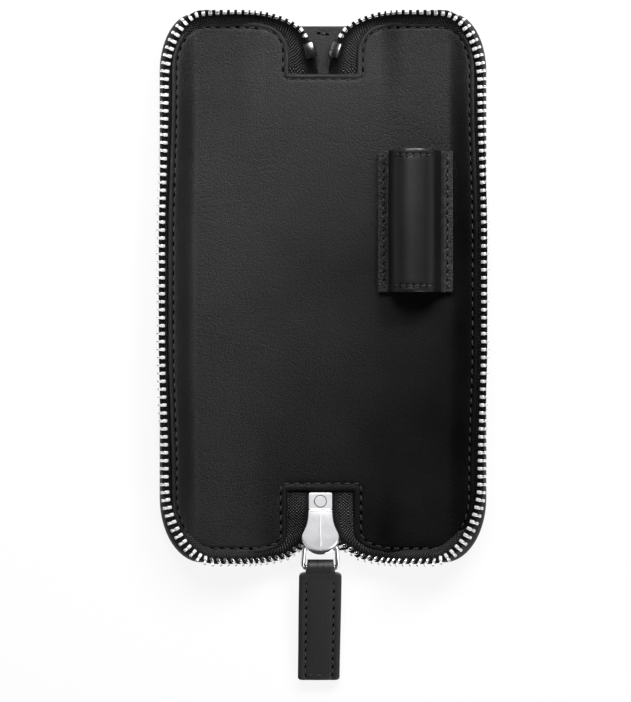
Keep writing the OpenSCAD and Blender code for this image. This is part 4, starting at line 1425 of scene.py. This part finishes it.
def loop_profile(inset):
    """Half outline of the loop's leather from the top of the tube out to the flange's edge."""
    r = TUBE_R - inset
    top = [(r * math.sin(a), TUBE_Z + r * math.cos(a)) for a in (math.radians(d) for d in range(0, 96, 8))]
    foot = FLANGE_Z + (LOOP_T if inset == 0 else 0.02)
    waist = [(r - 0.25, TUBE_Z - 1.6), (r - 0.15, mix(TUBE_Z, foot, 0.75)),
             (r + 0.25, foot + 0.25), (r + 0.8, foot)]
    flat = [(mix(r + 0.8, RIM_START, t), foot) for t in (0.25, 0.5, 0.75)]
    rim = [(RIM_START, foot), (LOOP_HALF - 0.6, foot), (LOOP_HALF - 0.2, foot), (LOOP_HALF, foot - 0.3)]
    if inset:
        rim = [(RIM_START, foot), (LOOP_HALF - 0.6, foot), (LOOP_HALF - 0.3, foot), (LOOP_HALF, foot + 0.3)]
    return top + waist + flat + rim


def loop_point(x, z, v, outside):
    """A point of the worn pen loop, v along it: trimmed ends, a bowed top and a crease at each end."""
    near_end = min(v, LOOP_SPAN - v)
    up = smooth((z - FLANGE_Z - 1.5) / 4)
    trim = 0.18 * (1 - smooth(near_end / 0.4)) * (1 if outside else -1)
    r = math.hypot(x, z - TUBE_Z)
    if up > 0:
        x, z = x - x / r * trim * up, z - (z - TUBE_Z) / r * trim * up
    else:
        z -= trim * 0.4
    x += x / TUBE_R * 0.15 * math.sin(math.pi * v / LOOP_SPAN) * up
    if outside:
        z -= 0.1 * bell_curve(near_end - EDGE_ROW, 0.45) * up
        z += ripple(x + 50, v, 12, 0.08, 2.0) + ripple(x, v, 2.2, 0.09, 6.0) * (1 - up)
        z += 0.13 * abs(math.sin(math.pi * v / BEAD)) * smooth((abs(x) - RIM_START + 0.1) / 0.4)
    bow = 0.5 * up * math.cos(math.pi * clamp(abs(x) / TUBE_R) / 2) * smooth((v / LOOP_SPAN - 0.5) * 2)
    return (LOOP_X + x - TUBE_LEAN * up, LOOP_LOW + v + bow, z)


def pen_loop():
    """A leather tube that holds a pen, sewn down through its flanges."""
    steps = [0, 0.12, 0.4, 0.9, 1.5, 1.9, 2.3] + spread(3.0, LOOP_SPAN - 3.0, 76)
    steps += [LOOP_SPAN - d for d in (2.3, 1.9, 1.5, 0.9, 0.4, 0.12, 0)]
    skins = []
    for inset in (0, LOOP_T):
        half = loop_profile(inset)
        cross = flipped(half[1:]) + half
        skins.append([[loop_point(x, z, v, inset == 0) for x, z in cross] for v in steps])
    outer, inner = skins
    reach = [x for x, z in loop_profile(0)]
    reach = reach[:0:-1] + reach
    shape = Shape()
    for k in range(len(outer[0]) - 1):
        shape.slot = int(min(reach[k:k + 2]) > FLANGE_START)
        shape.grid([row[k:k + 2] for row in outer])
    shape.slot = 0
    shape.grid(inner)
    for end in (0, -1):
        shape.grid([outer[end], inner[end]])
        shape.grid([[a[end], b[end]] for a, b in zip(outer, inner)])
    piece = shape.piece("pen_loop_leather", LOOP_LEATHER, LOOP_SUEDE, crease=60)
    settle_piece(piece, "loop_leather", "right_leaf", "pen_loop")


def pen_loop_seams():
    """Stitches down both flanges, and over the tube at both ends."""
    thread = Shape()
    x, z = LOOP_HALF - 1.75, FLANGE_Z + LOOP_T + 0.08
    for sign in (-1, 1):
        ends = [(LOOP_X + sign * x, y, z) for y in (LOOP_LOW + 1.2, LOOP_HIGH - 1.2)]
        sew(thread, Route(ends), straight_up, pitch=2.6, length=1.8, hole=0.45)

    r = TUBE_R - 0.08
    tube_x = LOOP_X - TUBE_LEAN

    def tube_up(place, heading):
        return Vector((place.x - tube_x, 0, place.z - TUBE_Z)).normalized()

    for y in (LOOP_LOW + EDGE_ROW, LOOP_HIGH - EDGE_ROW + 0.4):
        over = [Vector((tube_x + r * math.sin(a), y, TUBE_Z + r * math.cos(a)))
                for a in (math.radians(d) for d in range(-46, 47, 4))]
        sew(thread, Route(over), tube_up, pitch=2.3, length=1.9, radius=0.18, yaw=24, hole=0.45)
    seam = thread.piece("pen_loop_seam", THREAD, NEEDLE_HOLE_SHADE, weld=0)
    settle_piece(seam, "thread", "right_leaf", "loop_stitches")


def loop_base():
    """The base under the pen loop, with its raw side showing beside the tube."""
    bottom, top = low("loop_base", "z"), high("loop_base", "z")
    middle_y = (LOOP_LOW + LOOP_HIGH) / 2
    rows = []
    for inset, z in ((0.2, bottom - 0.3), (0, bottom - 0.1), (0, top - 0.25), (0.25, top)):
        rows.append([(LOOP_X + x, middle_y + y, z)
                     for x, y in rounded_box(LOOP_HALF - inset, LOOP_SPAN / 2 - inset, 0.8, 96)])
    shape = Shape()
    shape.loft(rows)
    piece = shape.piece("pen_loop_base", LOOP_SUEDE, weld=0, crease=50)
    settle_piece(piece, "loop_leather", "right_leaf", "loop_base")


# ---- CAD nodes that still show

def dress(node, material):
    """Gives a CAD node its detailed material."""
    data = frame["nodes"][node].data
    if not data.materials:
        data.materials.append(material)
    for k in range(len(data.materials)):
        data.materials[k] = material


for half in (-1, 1):
    cover_half(half)
    lining_half(half)
    tape_half(half)
    zip_teeth(half)
    seam_half(half)
tongue()
end_cap(-1, 16, -14)
end_cap(1, -20, -30)
slider_cap()
slider_plate()
slider_body()
bail()
pull()
pen_loop()
pen_loop_seams()
loop_base()
for board in ("left_board", "right_board", "spine_board"):
    dress(board, BOARD)
dress("bottom_stop", TOOTH_METAL)
